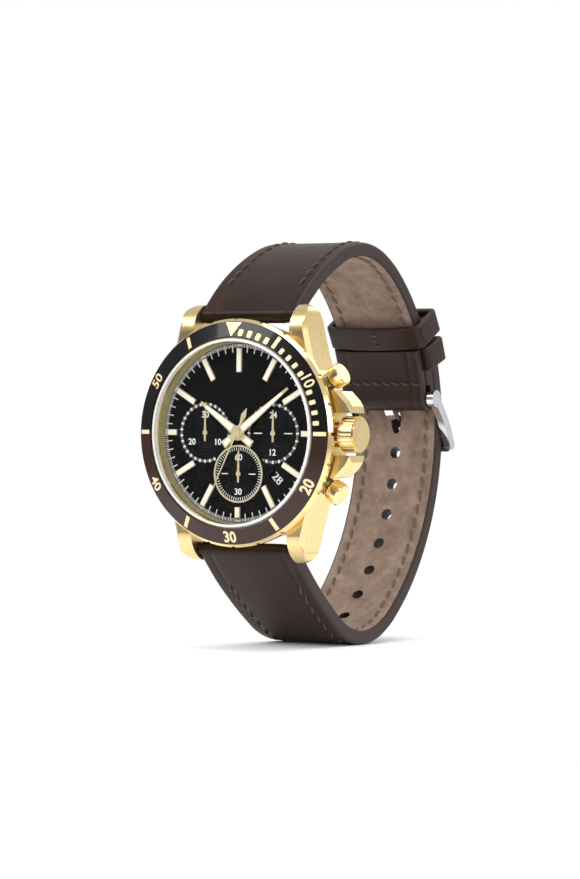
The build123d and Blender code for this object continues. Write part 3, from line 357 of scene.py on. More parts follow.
# %% Finish the CAD nodes
LOOKS = {
    METALS["gold_brushed"]: ["case_middle"],
    METALS["gold_polished"]: [
        "bezel_ring", "crown_cap", "pusher_start", "pusher_reset", "crown_tube", "pusher_tubes",
    ],
    METALS["gold_facet"]: [
        "counter_ring", "hour_markers", "hour_hand", "minute_hand", "seconds_hand", "counter_seconds_hand",
        "counter_minutes_hand", "counter_hours_hand",
    ],
    METALS["gold_satin"]: ["rehaut_ring"],
    METALS["steel_brushed"]: ["caseback"],
    METALS["steel_polished"]: ["buckle_frame", "buckle_bar", "buckle_tongue"],
    METALS["spring_steel"]: [
        "spring_bar_upper", "spring_bar_lower", "bezel_wire", "bezel_click_spring", "pusher_start_spring",
        "pusher_reset_spring", "battery_clamp", "winding_stem", "setting_lever",
    ],
    METALS["brass"]: [
        "main_plate", "train_bridge", "cannon_pinion", "minute_wheel", "hour_wheel", "centre_tube",
        "seconds_arbor", "counter_seconds_arbor", "counter_minutes_arbor", "counter_hours_arbor",
    ],
    METALS["copper"]: ["motor_coils"],
    METALS["battery_can"]: ["battery"],
    PLASTICS["gasket"]: ["crystal_gasket"],
    PLASTICS["holder"]: ["movement_holder"],
    PLASTICS["rubber"]: ["caseback_gasket", "crown_gasket"],
    PLASTICS["board"]: ["circuit_board"],
    DIAL: ["dial", "date_disc"],
    ENAMEL: ["bezel_insert"],
    GLASS: ["crystal"],
}
for look, names in LOOKS.items():
    for name in names:
        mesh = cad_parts[name].data
        mesh.materials.clear()
        mesh.materials.append(look)
print(sum(len(names) for names in LOOKS.values()), "CAD nodes finished")

# %% [markdown]
# ## Mesh helpers
# A new piece is a whole array of points and a whole array of faces. The enclosed volume tells which
# way the faces point, so a shape that came out inside out is turned round before it is used.

# %% Mesh helpers
def ring_faces(rows, columns):
    """Quads between successive closed rings of points, row by row."""
    row, column = np.meshgrid(np.arange(rows - 1), np.arange(columns), indexing="ij")
    after = (column + 1) % columns
    return np.stack((row * columns + column, row * columns + after,
                     (row + 1) * columns + after, (row + 1) * columns + column), -1).reshape(-1, 4)


def volume(points, faces):
    """Signed volume: the sum over fan triangles of a·(b×c)/6, positive when faces point outwards."""
    total = 0.0
    for group in faces:
        corner = points[group]
        for k in range(1, group.shape[1] - 1):
            total += np.einsum("ij,ij->", corner[:, 0], np.cross(corner[:, k], corner[:, k + 1])) / 6
    return total


def piece(name, points, faces, body, looks, stands_for=(), material_index=None):
    """A mesh from arrays in millimetres; faces is a list of arrays, one for each number of corners."""
    if volume(points, faces) < 0:
        faces = [group[:, ::-1] for group in faces]
    mesh = bpy.data.meshes.new(name)
    mesh.from_pydata((points * MM).tolist(), [], [face for group in faces for face in group.tolist()])
    for look in looks:
        mesh.materials.append(look)
    if material_index is not None:
        mesh.polygons.foreach_set("material_index", material_index)
    mesh.polygons.foreach_set("use_smooth", np.ones(len(mesh.polygons), bool))
    mesh.set_sharp_from_angle(angle=np.radians(38))
    made = bpy.data.objects.new(name, mesh)
    bpy.context.scene.collection.objects.link(made)
    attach(made, body)
    if stands_for:
        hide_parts(*stands_for)
    return made


# %% [markdown]
# ## The strap's line
# Buckled round a wrist, the strap is one smooth closed loop. Its line is a chain of arcs, and every
# ply, stitch, hole and keeper takes its place from a distance along that line and an inset towards
# the wrist. The strap narrows from the lugs to the buckle.

# %% The strap's line
LOOP_START = (-5.4, 24.55, np.radians(47.9))
LOOP_ARCS = ((48.5, 27.4), (23.4, 57.4), (41, 53), (47.8, 51.4), (17.2, 72.1), (96, 13.6))
LOOP_LENGTH = sum(radius * np.radians(turn) for radius, turn in LOOP_ARCS)
LEATHER, LINING, PLY_GAP = 1.6, 1.2, 0.2
STRAP = LEATHER + LINING
TAIL = -PLY_GAP - STRAP         # inset of the lower half's outer face
TAPER = ((0, 32), (11.0, 9.8))  # half width against depth behind the case back
SPRING_BAR = {"upper": (-4.4, 23.3), "lower": (-4.4, -23.3)}


def loop_frame(stations):
    """On an arc of radius r the heading falls by distance/r, and the point stays r from its centre.

    Returns the point, the unit tangent and the unit direction towards the wrist, each (n, 3).
    """
    y, z, heading = LOOP_START
    travelled = 0.0
    state = np.zeros((len(stations), 3))
    for radius, turn in LOOP_ARCS:
        on = stations >= travelled - 1e-9
        centre = (y + radius * np.sin(heading), z - radius * np.cos(heading))
        now = heading - (stations[on] - travelled) / radius
        state[on] = np.stack((centre[0] - radius * np.sin(now), centre[1] + radius * np.cos(now), now), -1)
        heading -= np.radians(turn)
        y, z = centre[0] - radius * np.sin(heading), centre[1] + radius * np.cos(heading)
        travelled += radius * np.radians(turn)
    zero = np.zeros(len(stations))
    point = np.stack((zero, state[:, 0], state[:, 1]), -1)
    tangent = np.stack((zero, np.cos(state[:, 2]), np.sin(state[:, 2])), -1)
    inward = np.stack((zero, np.sin(state[:, 2]), -np.cos(state[:, 2])), -1)
    return point, tangent, inward


def half_width(points):
    return np.interp(points[:, 1], *TAPER)


print("strap loop", round(float(LOOP_LENGTH), 1), "mm")

# %% [markdown]
# ## A strip of leather
# Strap leather is cut as a flat strip and its edges are rounded and painted. The strip is a section
# carried along a line: two flat faces joined by four quarter circles, with a shallow channel pressed
# in where the seam runs. The columns on the rounded sides take the edge paint.

# %% A strip of leather
SEAM = 2.5                      # seam line to strap edge
CORNER = np.radians((0, 30, 60, 90))
FACE_EDGES = np.array((0.9, 1.5, 2.0, 2.25, 2.5, 2.75, 3.0, 3.6, 5.5, np.inf))


def strip_section():
    """For each point round the section: side, fixed distance from the edge, and shares of radius and wall.

    A quarter circle has edge = r(1 - sin a) and depth = r(1 - cos a), from the near or the far face.
    """
    flat = np.concatenate((FACE_EDGES, FACE_EDGES[-2::-1]))
    none = np.zeros(len(flat))
    sides = np.concatenate((-np.ones(len(FACE_EDGES)), np.ones(len(FACE_EDGES) - 1)))
    away, bend = 1 - np.sin(CORNER), 1 - np.cos(CORNER)
    side = np.concatenate((sides, np.ones(8), -sides, -np.ones(8)))
    edge = np.concatenate((flat, np.zeros(8), flat, np.zeros(8)))
    edge_share = np.concatenate((none, away, away[::-1], none, away, away[::-1]))
    depth_share = np.concatenate((none, bend, -bend[::-1], none, -bend, bend[::-1]))
    far = np.concatenate((none, np.zeros(4), np.ones(4), none + 1, np.ones(4), np.zeros(4)))
    painted = np.concatenate((none, np.ones(8), none, np.ones(8)))
    return side, edge, edge_share, depth_share, far, painted


def strip(line, deep, wide, half, wall, radii=(0.45, 0.45), channel=0.1, closed=False):
    """Point = line + wide·side·(half - edge) + deep·depth; the channel sinks both faces at the seam."""
    side, edge, edge_share, depth_share, far, painted = strip_section()
    rows = len(line)
    wall = np.broadcast_to(wall, rows)[:, None]
    bend = np.minimum(np.where(far > 0.5, radii[1], radii[0]), wall * 0.45)
    across = side * np.maximum(half[:, None] - edge - edge_share * bend, 0)
    groove = channel * np.exp(-((edge - SEAM) / 0.35) ** 2) * np.where(far > 0.5, -1, 1)
    depth = depth_share * bend + far * wall + groove
    points = line[:, None] + wide[:, None] * across[..., None] + deep[:, None] * depth[..., None]
    columns = len(side)
    faces = ring_faces(rows, columns)
    paint = np.tile(np.minimum(painted, np.roll(painted, -1)), rows - 1).astype(np.int32)
    if closed:
        last = np.arange(columns) + (rows - 1) * columns
        first = np.arange(columns)
        seam = np.stack((last, np.roll(last, -1), np.roll(first, -1), first), -1)
        return points.reshape(-1, 3), [np.concatenate((faces, seam))], np.concatenate((paint, paint[:columns]))
    caps = np.stack((np.arange(columns)[::-1], np.arange(columns) + (rows - 1) * columns))
    return points.reshape(-1, 3), [faces, caps], np.concatenate((paint, (1, 1)))


# %% [markdown]
# ## Strap plies
# Each half is an outer leather and a lining. At the lug the leather is pared thin and turned round
# the spring bar. At the buckle the upper half's leather is folded round the buckle bar and back
# along the inside, where it is sewn down.

# %% Strap plies
BUCKLE, FOLD, FOLD_DEPTH = 78.0, 12.0, 5.15
BAR_WRAP = FOLD_DEPTH / 2
PARED = 0.8
BAR_END = 1.6                   # leather radius round a spring bar


def bar_turn(centre, start, sweep, radius, count):
    """Arc round a bar: points at the radius from its centre, and the direction towards the centre."""
    angle = np.linspace(start, start + sweep, count)
    out = np.stack((0 * angle, np.cos(angle), np.sin(angle)), -1)
    return np.array((0, *centre)) + radius * out, -out


def angle_at(centre, point):
    return float(np.arctan2(point[2] - centre[1], point[1] - centre[0]))


def upper_leather_line():
    """Turn round the spring bar, the outer face, the turn round the buckle bar, and the way back."""
    stations = np.linspace(0.0, BUCKLE, 150)
    point, tangent, inward = loop_frame(stations)
    bar = SPRING_BAR["upper"]
    first = angle_at(bar, point[0])
    lug, lug_in = bar_turn(bar, first + np.radians(250), -np.radians(246), BAR_END, 26)
    end, _, end_in = (part[-1] for part in (point, tangent, inward))
    centre = end + end_in * BAR_WRAP
    start = angle_at(centre[1:], end)
    wrap, wrap_in = bar_turn(centre[1:], start - 0.12, -np.pi + 0.24, BAR_WRAP, 22)
    back_stations = np.linspace(BUCKLE, BUCKLE - FOLD, 26)
    back_point, _, back_in = loop_frame(back_stations)
    line = np.concatenate((lug, point, wrap, back_point + back_in * FOLD_DEPTH))
    deep = np.concatenate((lug_in, inward, wrap_in, -back_in))
    full = np.full(len(wrap) + len(back_point), LEATHER)
    wall = np.concatenate((np.full(len(lug), PARED), np.interp(stations, (0, 4), (PARED, LEATHER)), full))
    return line, deep, wall


def across_strap(count):
    return np.tile((1.0, 0.0, 0.0), (count, 1))


line, deep, wall = upper_leather_line()
points, faces, paint = strip(line, deep, across_strap(len(line)), half_width(line), wall, (0.5, 0.03))
piece("upper_strap_leather", points, faces, "case", (CALF, EDGE_PAINT),
      ["strap_upper_leather"], paint)
print("upper leather", len(points), "points")

# %% Upper lining
stations = np.linspace(2.6, BUCKLE - BAR_WRAP - 0.4, 130)
point, tangent, inward = loop_frame(stations)
points, faces, paint = strip(point + inward * LEATHER, inward, across_strap(len(point)), half_width(point),
                             LINING, (0.03, 0.45), 0.08)
piece("upper_strap_lining", points, faces, "case", (NUBUCK, EDGE_PAINT),
      ["strap_upper_lining"], paint)
print("upper lining", len(points), "points")

# %% [markdown]
# ## Lower half with its punched holes
# The lower half carries eight round holes, 6.7 mm apart. A punch cuts clean through, so the holes are
# cut from the closed mesh with one set of punches. The tongue has drawn the hole in use out long.

# %% Lower half
HOLE_RADIUS, HOLE_PITCH, HOLES, FIRST_HOLE = 1.2, 6.7, 8, 83.2
TAIL_STATION = FIRST_HOLE - 21.5


def punches():
    """A 28-sided rod through the strap at each hole; the first is stretched along the strap."""
    where = FIRST_HOLE + HOLE_PITCH * np.arange(HOLES)
    point, tangent, inward = loop_frame(where)
    turn = np.linspace(0, 2 * np.pi, 28, endpoint=False)
    stretch = np.where(np.arange(HOLES) == 0, 2.25, 1.0)[:, None, None]
    ring = (np.cos(turn)[None, :, None] * np.array((1.0, 0, 0))
            + np.sin(turn)[None, :, None] * tangent[:, None] * stretch) * HOLE_RADIUS
    wrist_end = point[:, None] + inward[:, None] * 1.0 + ring
    outer_end = point[:, None] + inward[:, None] * (TAIL - 1) + ring
    points = np.concatenate((wrist_end, outer_end), 1).reshape(-1, 3)
    start = np.arange(HOLES)[:, None] * 56
    one = np.arange(28)
    sides = np.stack((one, (one + 1) % 28, (one + 1) % 28 + 28, one + 28), -1)
    walls = (start[..., None] + sides[None]).reshape(-1, 4)
    caps = np.concatenate((start + one[::-1], start + one + 28))
    mesh = bpy.data.meshes.new("punches")
    mesh.from_pydata((points * MM).tolist(), [], walls.tolist() + caps.tolist())
    for look in (CALF, EDGE_PAINT):
        mesh.materials.append(look)
    mesh.polygons.foreach_set("material_index", np.ones(len(mesh.polygons), np.int32))
    made = bpy.data.objects.new("punches", mesh)
    bpy.context.scene.collection.objects.link(made)
    return made


def punch(made, cutter):
    """Cut the holes and keep the result as the piece's own mesh."""
    cut = made.modifiers.new("holes", "BOOLEAN")
    cut.object, cut.operation, cut.solver = cutter, "DIFFERENCE", "EXACT"
    graph = bpy.context.evaluated_depsgraph_get()
    whole = bpy.data.meshes.new_from_object(made.evaluated_get(graph))
    made.modifiers.clear()
    made.data = whole
    return len(whole.polygons)


stations = np.linspace(TAIL_STATION, LOOP_LENGTH, 190)
point, tangent, inward = loop_frame(stations)
lower_bar = SPRING_BAR["lower"]
face_line = point + inward * TAIL
wall = np.interp(stations, (LOOP_LENGTH - 4, LOOP_LENGTH), (LEATHER, PARED))
lug_turn, lug_in = bar_turn(lower_bar, angle_at(lower_bar, face_line[-1]) - 0.1, -np.radians(246), BAR_END, 26)
line = np.concatenate((face_line, lug_turn))
deep = np.concatenate((inward, lug_in))
wall = np.concatenate((wall, np.full(len(lug_turn), PARED)))
points, faces, paint = strip(line, deep, across_strap(len(line)), half_width(line), wall, (0.5, 0.03))
lower_leather = piece("lower_strap_leather", points, faces, "case", (CALF, EDGE_PAINT),
                      ["strap_lower_leather"], paint)
keep = stations < LOOP_LENGTH - 2.6
points, faces, paint = strip((point + inward * (TAIL + LEATHER))[keep], inward[keep], across_strap(keep.sum()),
                             half_width(point[keep]), LINING, (0.03, 0.45), 0.08)
lower_lining = piece("lower_strap_lining", points, faces, "case", (NUBUCK, EDGE_PAINT),
                     ["strap_lower_lining"], paint)
cutter = punches()
print("faces after punching", punch(lower_leather, cutter), punch(lower_lining, cutter))
bpy.data.objects.remove(cutter)

# %% [markdown]
# ## Stitching
# A saddle stitch lies in its channel like a grain of rice: thick in the middle, diving into a hole at
# each end. One stitch is a tapered tube of 30 faces, and whole rows are copied by adding its points
# to the frames along the strap. Seams run down both edges, on the face and again on the lining.

# %% Stitching
STITCH_LENGTH, STITCH_PITCH, THREAD_RADIUS = 2.9, 3.0, 0.34
SLANT = 0.34                    # sideways lean of a stitch's ends


def one_stitch(length, radius):
    """Tube of six rings of five points: it swells as sqrt(1 - t^2) and its ends dip below the face.

    Columns are along the seam, across it, and out of the face.
    """
    t = np.linspace(-1, 1, 7)[:, None]
    turn = np.linspace(0, 2 * np.pi, 6, endpoint=False)[None]
    swell = radius * np.sqrt(1.02 - t ** 2)
    along = t * length / 2 + 0 * turn
    across = swell * np.cos(turn) + SLANT * t
    out = swell * np.sin(turn) + radius * (0.45 - 1.1 * t ** 2)
    return np.stack((along, across, out), -1).reshape(-1, 3)


def stitches(name, where, across, inset, outward, look, crosswise=False, body="case",
             length=STITCH_LENGTH):
    """One row: stitch points plus each seam point, along the tangent (or across the strap) and out."""
    grain = one_stitch(length, THREAD_RADIUS)
    point, tangent, inward = loop_frame(where)
    wide = across_strap(len(where))
    run, cross = (wide, tangent) if crosswise else (tangent, wide)
    seat = point + inward * inset + wide * across[:, None]
    placed = (seat[:, None] + run[:, None] * grain[None, :, :1] + cross[:, None] * grain[None, :, 1:2]
              + inward[:, None] * outward * grain[None, :, 2:])
    columns, rows = 6, 7
    quads = ring_faces(rows, columns)
    caps = np.stack((np.arange(columns)[::-1], np.arange(columns) + (rows - 1) * columns))
    start = (np.arange(len(where)) * rows * columns)[:, None, None]
    return piece(name, placed.reshape(-1, 3), [(start + quads).reshape(-1, 4), (start + caps).reshape(-1, 6)],
                 body, (look,))


def seam(name, first, last, inset, outward, look, slot):
    """Two rows, one along each edge of the strap."""
    where = np.arange(first, last, STITCH_PITCH)
    both = np.concatenate((where, where))
    point = loop_frame(both)[0]
    offset = (half_width(point) - SEAM) * np.repeat((-1, 1), len(where))
    return stitches(name, both, offset, inset, outward, look)


seam("upper_face_stitches", 8.5, 66.0, 0.1, -1, THREAD, "leather_brown")
seam("upper_lining_stitches", 8.0, 64.0, STRAP - 0.08, 1, THREAD_INSIDE, "lining_taupe")
seam("lower_face_stitches", 66.0, 165.0, TAIL + 0.1, -1, THREAD, "leather_brown")
seam("lower_lining_stitches", 66.0, 165.0, -PLY_GAP - 0.08, 1, THREAD_INSIDE, "lining_taupe")
print("seams sewn")

# %% Cross seam on the fold
cross_offsets = np.linspace(-8.2, 8.2, 8)
cross_station = BUCKLE - 4.0
stitches("fold_cross_stitches", np.full(len(cross_offsets), cross_station), cross_offsets, FOLD_DEPTH, 1,
         THREAD, True, length=2.4)
print("fold sewn")

# %% [markdown]
# ## Keepers
# A keeper is a narrow band of the same leather, wrapped round both halves and joined on the inside.
# The fixed one is caught under the fold and is pared thin there; the free one slides. Each is the
# same strip carried round a rounded rectangle, with its width along the strap.

# %% Keepers
KEEPER_WIDTH, KEEPER_WALL, KEEPER_GAP = 5.0, 1.2, 0.25
KEEPER_HALF = 9.8 + KEEPER_GAP + 0.15
KEEPER_BOW = 1.1                # how far the free keeper's inner side stands off the lining
KEEPER_CORNER, RUN_END = 1.3, 2.2
FIXED_KEEPER, FREE_KEEPER = 68.7, 62.8


def keeper(name, node, station, inner_inset, inner_wall, body, bow=0.0):
    """Rounded rectangle: four quarter circles joined by runs.

    The inner run swells towards the wrist by bow(1 - (x/half)^2).
    """
    point, tangent, inward = (part[0] for part in loop_frame(np.array((station,))))
    outer_inset = TAIL - KEEPER_GAP
    low, high = outer_inset - KEEPER_WALL, inner_inset + inner_wall
    half = KEEPER_HALF + KEEPER_WALL
    inner_corner = min(KEEPER_CORNER, inner_wall * 1.6)
    radius = np.array((KEEPER_CORNER, KEEPER_CORNER, inner_corner, inner_corner))
    centre = np.array(((half, low), (-half, low), (-half, high), (half, high)))
    sign = np.array(((-1, 1), (1, 1), (1, -1), (-1, -1)))
    first = np.radians((0, -90, -180, -270))
    outline, normal = [], []
    for k in range(4):
        angle = first[k] - np.radians(np.linspace(0, 90, 9))
        out = np.stack((np.cos(angle), np.sin(angle)), -1)
        outline.append(centre[k] + sign[k] * radius[k] + radius[k] * out)
        normal.append(out)
    for place, way, level_inset in ((3, 1.0, high), (1, -1.0, low)):
        run = way * np.linspace(-1, 1, 14)[1:-1, None] * (half - RUN_END)
        outline.insert(place, np.hstack((run, np.full_like(run, level_inset))))
        normal.insert(place, np.tile((0.0, way), (len(run), 1)))
    outline, normal = np.concatenate(outline), np.concatenate(normal)
    outline[:, 1] += np.where(outline[:, 1] > 0, bow * (1 - (outline[:, 0] / half) ** 2), 0)
    ring = np.array(point) + outline[:, :1] * np.array((1.0, 0, 0)) + outline[:, 1:] * inward
    deep = -(normal[:, :1] * np.array((1.0, 0, 0)) + normal[:, 1:] * inward)
    wall = np.interp(normal[:, 1], (0.2, 0.9), (KEEPER_WALL, inner_wall))
    count = len(ring)
    points, faces, paint = strip(ring, deep, np.tile(tangent, (count, 1)), np.full(count, KEEPER_WIDTH / 2),
                                 wall, (0.35, 0.35), 0.0, closed=True)
    return piece(name, points, faces, body, (CALF, EDGE_PAINT), [node], paint)


FOLD_PLAY = 0.12                # above and below the pared side of the fixed keeper, under the fold
pared_side = FOLD_DEPTH - LEATHER - STRAP - 2 * FOLD_PLAY
keeper("fixed_keeper_band", "fixed_keeper", FIXED_KEEPER, STRAP + FOLD_PLAY, pared_side, "case")
keeper("free_keeper_band", "free_keeper", FREE_KEEPER, STRAP + KEEPER_GAP, KEEPER_WALL, "free_keeper",
       KEEPER_BOW)
stitches("free_keeper_join", FREE_KEEPER + np.array((-1.4, 0.0, 1.4)), np.array((0.8, 0.8, 0.8)),
         STRAP + KEEPER_GAP + KEEPER_WALL + KEEPER_BOW - 0.1, 1, THREAD, True,
         "free_keeper", 1.5)
print("keepers made")

# %% [markdown]
# ## Prisms on the dial and bezel
# Ticks, dots, bars and pads of paste are all thin prisms: an outline in two directions, across and
# outwards, set at a radius and a clock angle. On the sloping bezel each point rises with its radius.

# %% Prisms
DIAL_HEIGHT = 8.6


def bezel_height(radius):
    """The insert's cone: 10.8 high at its 21.95 mm rim, rising to 11.9 at 18.95 mm."""
    return np.interp(radius, (18.95, 21.95), (11.9, 10.8))


def placed(local, radius, angle, centre=(0.0, 0.0)):
    """Across goes with the clock, outwards goes from the centre; returns x and z."""
    angle = np.radians(angle)[:, None]
    across, out = local[None, :, 0], local[None, :, 1] + np.asarray(radius, float).reshape(-1, 1)
    return out * np.sin(angle) + across * np.cos(angle) + centre[0], \
        out * np.cos(angle) - across * np.sin(angle) + centre[1]


def prisms(local, radius, angle, low, high, centre=(0.0, 0.0), on_bezel=False):
    """Two copies of each outline, at the low and high level, with walls between them."""
    local, angle = np.asarray(local, float), np.atleast_1d(np.asarray(angle, float))
    x, z = placed(local, radius, angle, centre)
    base = bezel_height(np.hypot(x, z)) if on_bezel else np.zeros_like(x)
    lower = np.stack((x, -(base + low), z), -1)
    upper = np.stack((x, -(base + high), z), -1)
    count, corners = x.shape
    points = np.concatenate((lower, upper), 1).reshape(-1, 3)
    start = (np.arange(count) * 2 * corners)[:, None, None]
    one = np.arange(corners)
    sides = np.stack((one, (one + 1) % corners, (one + 1) % corners + corners, one + corners), -1)
    caps = np.stack((one[::-1], one + corners))
    return points, (start + sides).reshape(-1, 4), (start + caps).reshape(-1, corners)


def joined(parts):
    """Several sets of prisms as one mesh: the faces of each set are moved past the points before it."""
    points, quads, others = [], [], []
    start = 0
    for part_points, part_quads, part_caps in parts:
        points.append(part_points)
        quads.append(part_quads + start)
        others.append(part_caps + start)
        start += len(part_points)
    return np.concatenate(points), [np.concatenate(quads), *others]


def bar(width, length, rounding=0.0):
    """Rectangle centred on its place, its corners cut by quarter circles when rounding is given."""
    if not rounding:
        return np.array(((-width, -length), (width, -length), (width, length), (-width, length))) / 2
    turn = np.radians(np.linspace(0, 90, 5))
    corner = rounding * np.stack((np.cos(turn), np.sin(turn)), -1)
    reach = np.array((width / 2 - rounding, length / 2 - rounding))
    first = reach + corner
    return np.concatenate((first, first[::-1] * (-1, 1), -first, first[::-1] * (1, -1)))


# %% [markdown]
# ## Dial print
# The minute track has a long tick for each minute, four short ones between, and a block outside each
# hour. The left and right counters have a broken track, and the lower one a fine track of sixty.

# %% Dial print
INK = 0.025                     # real print is 0.01 mm thick; drawn thicker so that it catches light
minutes = np.arange(60) * 6.0
hours = np.arange(12) * 30.0
ON_DIAL = (DIAL_HEIGHT - 0.01, DIAL_HEIGHT + INK)
between = np.setdiff1d(np.arange(300) * 1.2, minutes)
long_minutes = np.setdiff1d(minutes, hours)
MINUTE_RADIUS, BETWEEN_RADIUS, HOUR_BLOCK_RADIUS = 16.72, 17.2, 17.28
track = joined([
    prisms(bar(0.2, 1.6), MINUTE_RADIUS, long_minutes, *ON_DIAL),
    prisms(bar(0.13, 0.7), BETWEEN_RADIUS, between, *ON_DIAL),
    prisms(bar(1.1, 0.42), HOUR_BLOCK_RADIUS, hours, *ON_DIAL),
])
piece("minute_track", track[0], track[1], "case", (PRINTS["ink"],))


SIDE_TRACK, BOTTOM_TRACK, RING_CLEAR = 5.65, 4.95, 6.2


def counter_ticks(name, count, size, radius):
    """Ticks round one counter, without those that would run into the lower counter's ring."""
    angle = np.arange(count) * 360 / count
    centre = COUNTERS[name]
    x = centre[0] + radius * np.sin(np.radians(angle)) - COUNTERS["bottom"][0]
    z = centre[1] + radius * np.cos(np.radians(angle)) - COUNTERS["bottom"][1]
    free = (np.hypot(x, z) > RING_CLEAR) | (name == "bottom")
    return prisms(bar(*size), radius, angle[free], *ON_DIAL, centre)


def counter_dash(name, aside, length):
    """A level dash beside a counter's centre."""
    x, z = COUNTERS[name]
    return prisms(bar(length, 0.2), 0.0, [0.0], *ON_DIAL, (x + aside, z))


counter_print = joined([
    counter_ticks("left", 30, (0.36, 0.62), SIDE_TRACK),
    counter_ticks("right", 24, (0.36, 0.62), SIDE_TRACK),
    counter_ticks("bottom", 60, (0.13, 0.62), BOTTOM_TRACK),
    counter_dash("right", -3.5, 1.9), counter_dash("right", 3.5, 1.9),
    counter_dash("bottom", -3.2, 1.5), counter_dash("bottom", 3.2, 1.5),
])
piece("counter_tracks", counter_print[0], counter_print[1], "case", (PRINTS["ink"],))
grey_print = joined([
    counter_ticks(side, 120, (0.2, 0.5), SIDE_TRACK) for side in ("left", "right")
])
grey_points = grey_print[0] + (0, 0.012, 0)
piece("counter_track_ground", grey_points, grey_print[1], "case", (PRINTS["ink_grey"],))
print("dial printed:", len(track[0]) + len(counter_print[0]), "points")

# %% [markdown]
# ## Numerals
# Only plain numbers are drawn. Blender's own font gives an outline, which is thickened a little and
# given a wall, turned into a mesh, and then laid on the dial or bent onto the bezel's cone.

# %% Numerals
def numeral(text, size, bold):
    """The font's mesh for one number, centred on its own box: (points across, up, level) and faces."""
    curve = bpy.data.curves.new("numeral", "FONT")
    curve.body, curve.size, curve.offset, curve.extrude = text, size, bold, 0.5
    curve.resolution_u = 3
    carrier = bpy.data.objects.new("numeral", curve)
    bpy.context.scene.collection.objects.link(carrier)
    graph = bpy.context.evaluated_depsgraph_get()
    mesh = bpy.data.meshes.new_from_object(carrier.evaluated_get(graph))
    points = np.zeros(len(mesh.vertices) * 3)
    mesh.vertices.foreach_get("co", points)
    points = points.reshape(-1, 3)
    points[:, :2] -= (points[:, :2].min(0) + points[:, :2].max(0)) / 2
    mesh.calc_loop_triangles()
    triangles = np.zeros(len(mesh.loop_triangles) * 3, np.int32)
    mesh.loop_triangles.foreach_get("vertices", triangles)
    bpy.data.objects.remove(carrier)
    bpy.data.curves.remove(curve)
    bpy.data.meshes.remove(mesh)
    return points, triangles.reshape(-1, 3)


def numbers(name, items, low, high, body, look, slot, on_bezel=False):
    """items are (text, size, bold, radius, clock angle, turn, centre)."""
    points, faces, start = [], [], 0
    for text, size, bold, radius, angle, turn, centre in items:
        local, triangles = numeral(text, size, bold)
        spin = np.radians(turn)
        flat = local[:, :2] @ np.array(((np.cos(spin), np.sin(spin)), (-np.sin(spin), np.cos(spin))))
        x, z = (part[0] for part in placed(flat, [radius], np.array((angle,)), centre))
        base = bezel_height(np.hypot(x, z)) if on_bezel else np.zeros_like(x)
        level = np.where(local[:, 2] > 0, high, low) + base
        points.append(np.stack((x, -level, z), -1))
        faces.append(triangles + start)
        start += len(local)
    return piece(name, np.concatenate(points), [np.concatenate(faces)], body, (look,))


FIGURE_SIZE, FIGURE_BOLD = 1.75, 0.03
FIGURES = (  # text, radius, clock angle, counter; each stands upright
    ("30", 3.6, 0, "left"), ("20", 3.6, 240, "left"), ("10", 3.6, 120, "left"), ("24", 3.6, 0, "right"),
    ("12", 3.7, 180, "right"), ("60", 3.3, 0, "bottom"), ("30", 3.5, 180, "bottom"),
)
numbers("counter_numerals", [
    (text, FIGURE_SIZE, FIGURE_BOLD, radius, angle, angle, COUNTERS[counter])
    for text, radius, angle, counter in FIGURES
], *ON_DIAL, "case", PRINTS["ink"], "dial_black")
print("counters numbered")

# %% [markdown]
# ## Date disc numbers
# All thirty-one numbers are printed on the disc under the dial, read outwards, and the window between
# four and five shows one of them. They ride on the disc, so another date comes up as it turns.

# %% Date numbers
DATE_ANGLE, DATE_SHOWN, DATE_RADIUS, DISC_TOP = 135.0, 28, 12.4, 7.95
DATE_SIZE, DATE_BOLD, READ_OUTWARDS, CENTRE = 2.5, 0.05, 90, (0.0, 0.0)
numbers("date_numbers", [
    (str(day), DATE_SIZE, DATE_BOLD, DATE_RADIUS, DATE_ANGLE + (day - DATE_SHOWN) * 360 / 31, READ_OUTWARDS,
     CENTRE) for day in range(1, 32)
], DISC_TOP - 0.01, DISC_TOP + INK, "date_disc", PRINTS["ink"], "dial_black")
print("date disc numbered")

# %% [markdown]
# ## Bezel marks
# A triangle at twelve, rounded dots for most minutes of the first quarter, bars at the fives and
# numbers at the tens. Each is a pad of warm paste with a thin gold frame of its own shape beneath.

# %% Bezel marks
TRIANGLE = np.array(((-1.75, 1.35), (1.75, 1.35), (0.0, -1.35)))
dots = np.array((1, 2, 3, 4, 6, 7, 8, 9, 11, 12, 13, 14)) * 6.0
fives = np.array((5, 15, 25, 35, 45, 55)) * 6.0
MARK_RADIUS, TRIANGLE_RADIUS, DOT_RADIUS, TENS_SIZE = 20.4, 20.35, 19.75, 2.95
TENS = (("10", 60, 0), ("20", 120, 180), ("30", 180, 180), ("40", 240, 180), ("50", 300, 0))
marks = {"gold": (0.0, 0.045, 0.0), "paste": (0.01, 0.085, 0.13)}
for kind, (low, high, inset) in marks.items():
    shapes = joined([
        prisms(TRIANGLE * (1 - inset * 0.9), TRIANGLE_RADIUS, [0.0], low, high, on_bezel=True),
        prisms(bar(0.95 - inset, 1.25 - inset, 0.22), DOT_RADIUS, dots, low, high, on_bezel=True),
        prisms(bar(0.9 - inset, 2.5 - inset), MARK_RADIUS, fives, low, high, on_bezel=True),
    ])
    look = METALS["gold_polished"] if kind == "gold" else PRINTS["paste_warm"]
    piece(f"bezel_marks_{kind}", shapes[0], shapes[1], "bezel", (look,))
    numbers(f"bezel_numerals_{kind}", [
        (text, TENS_SIZE, 0.1 - inset * 0.6, MARK_RADIUS, angle, turn, CENTRE) for text, angle, turn in TENS
    ], low, high, "bezel", look, "bezel_insert", on_bezel=True)
print("bezel marked")

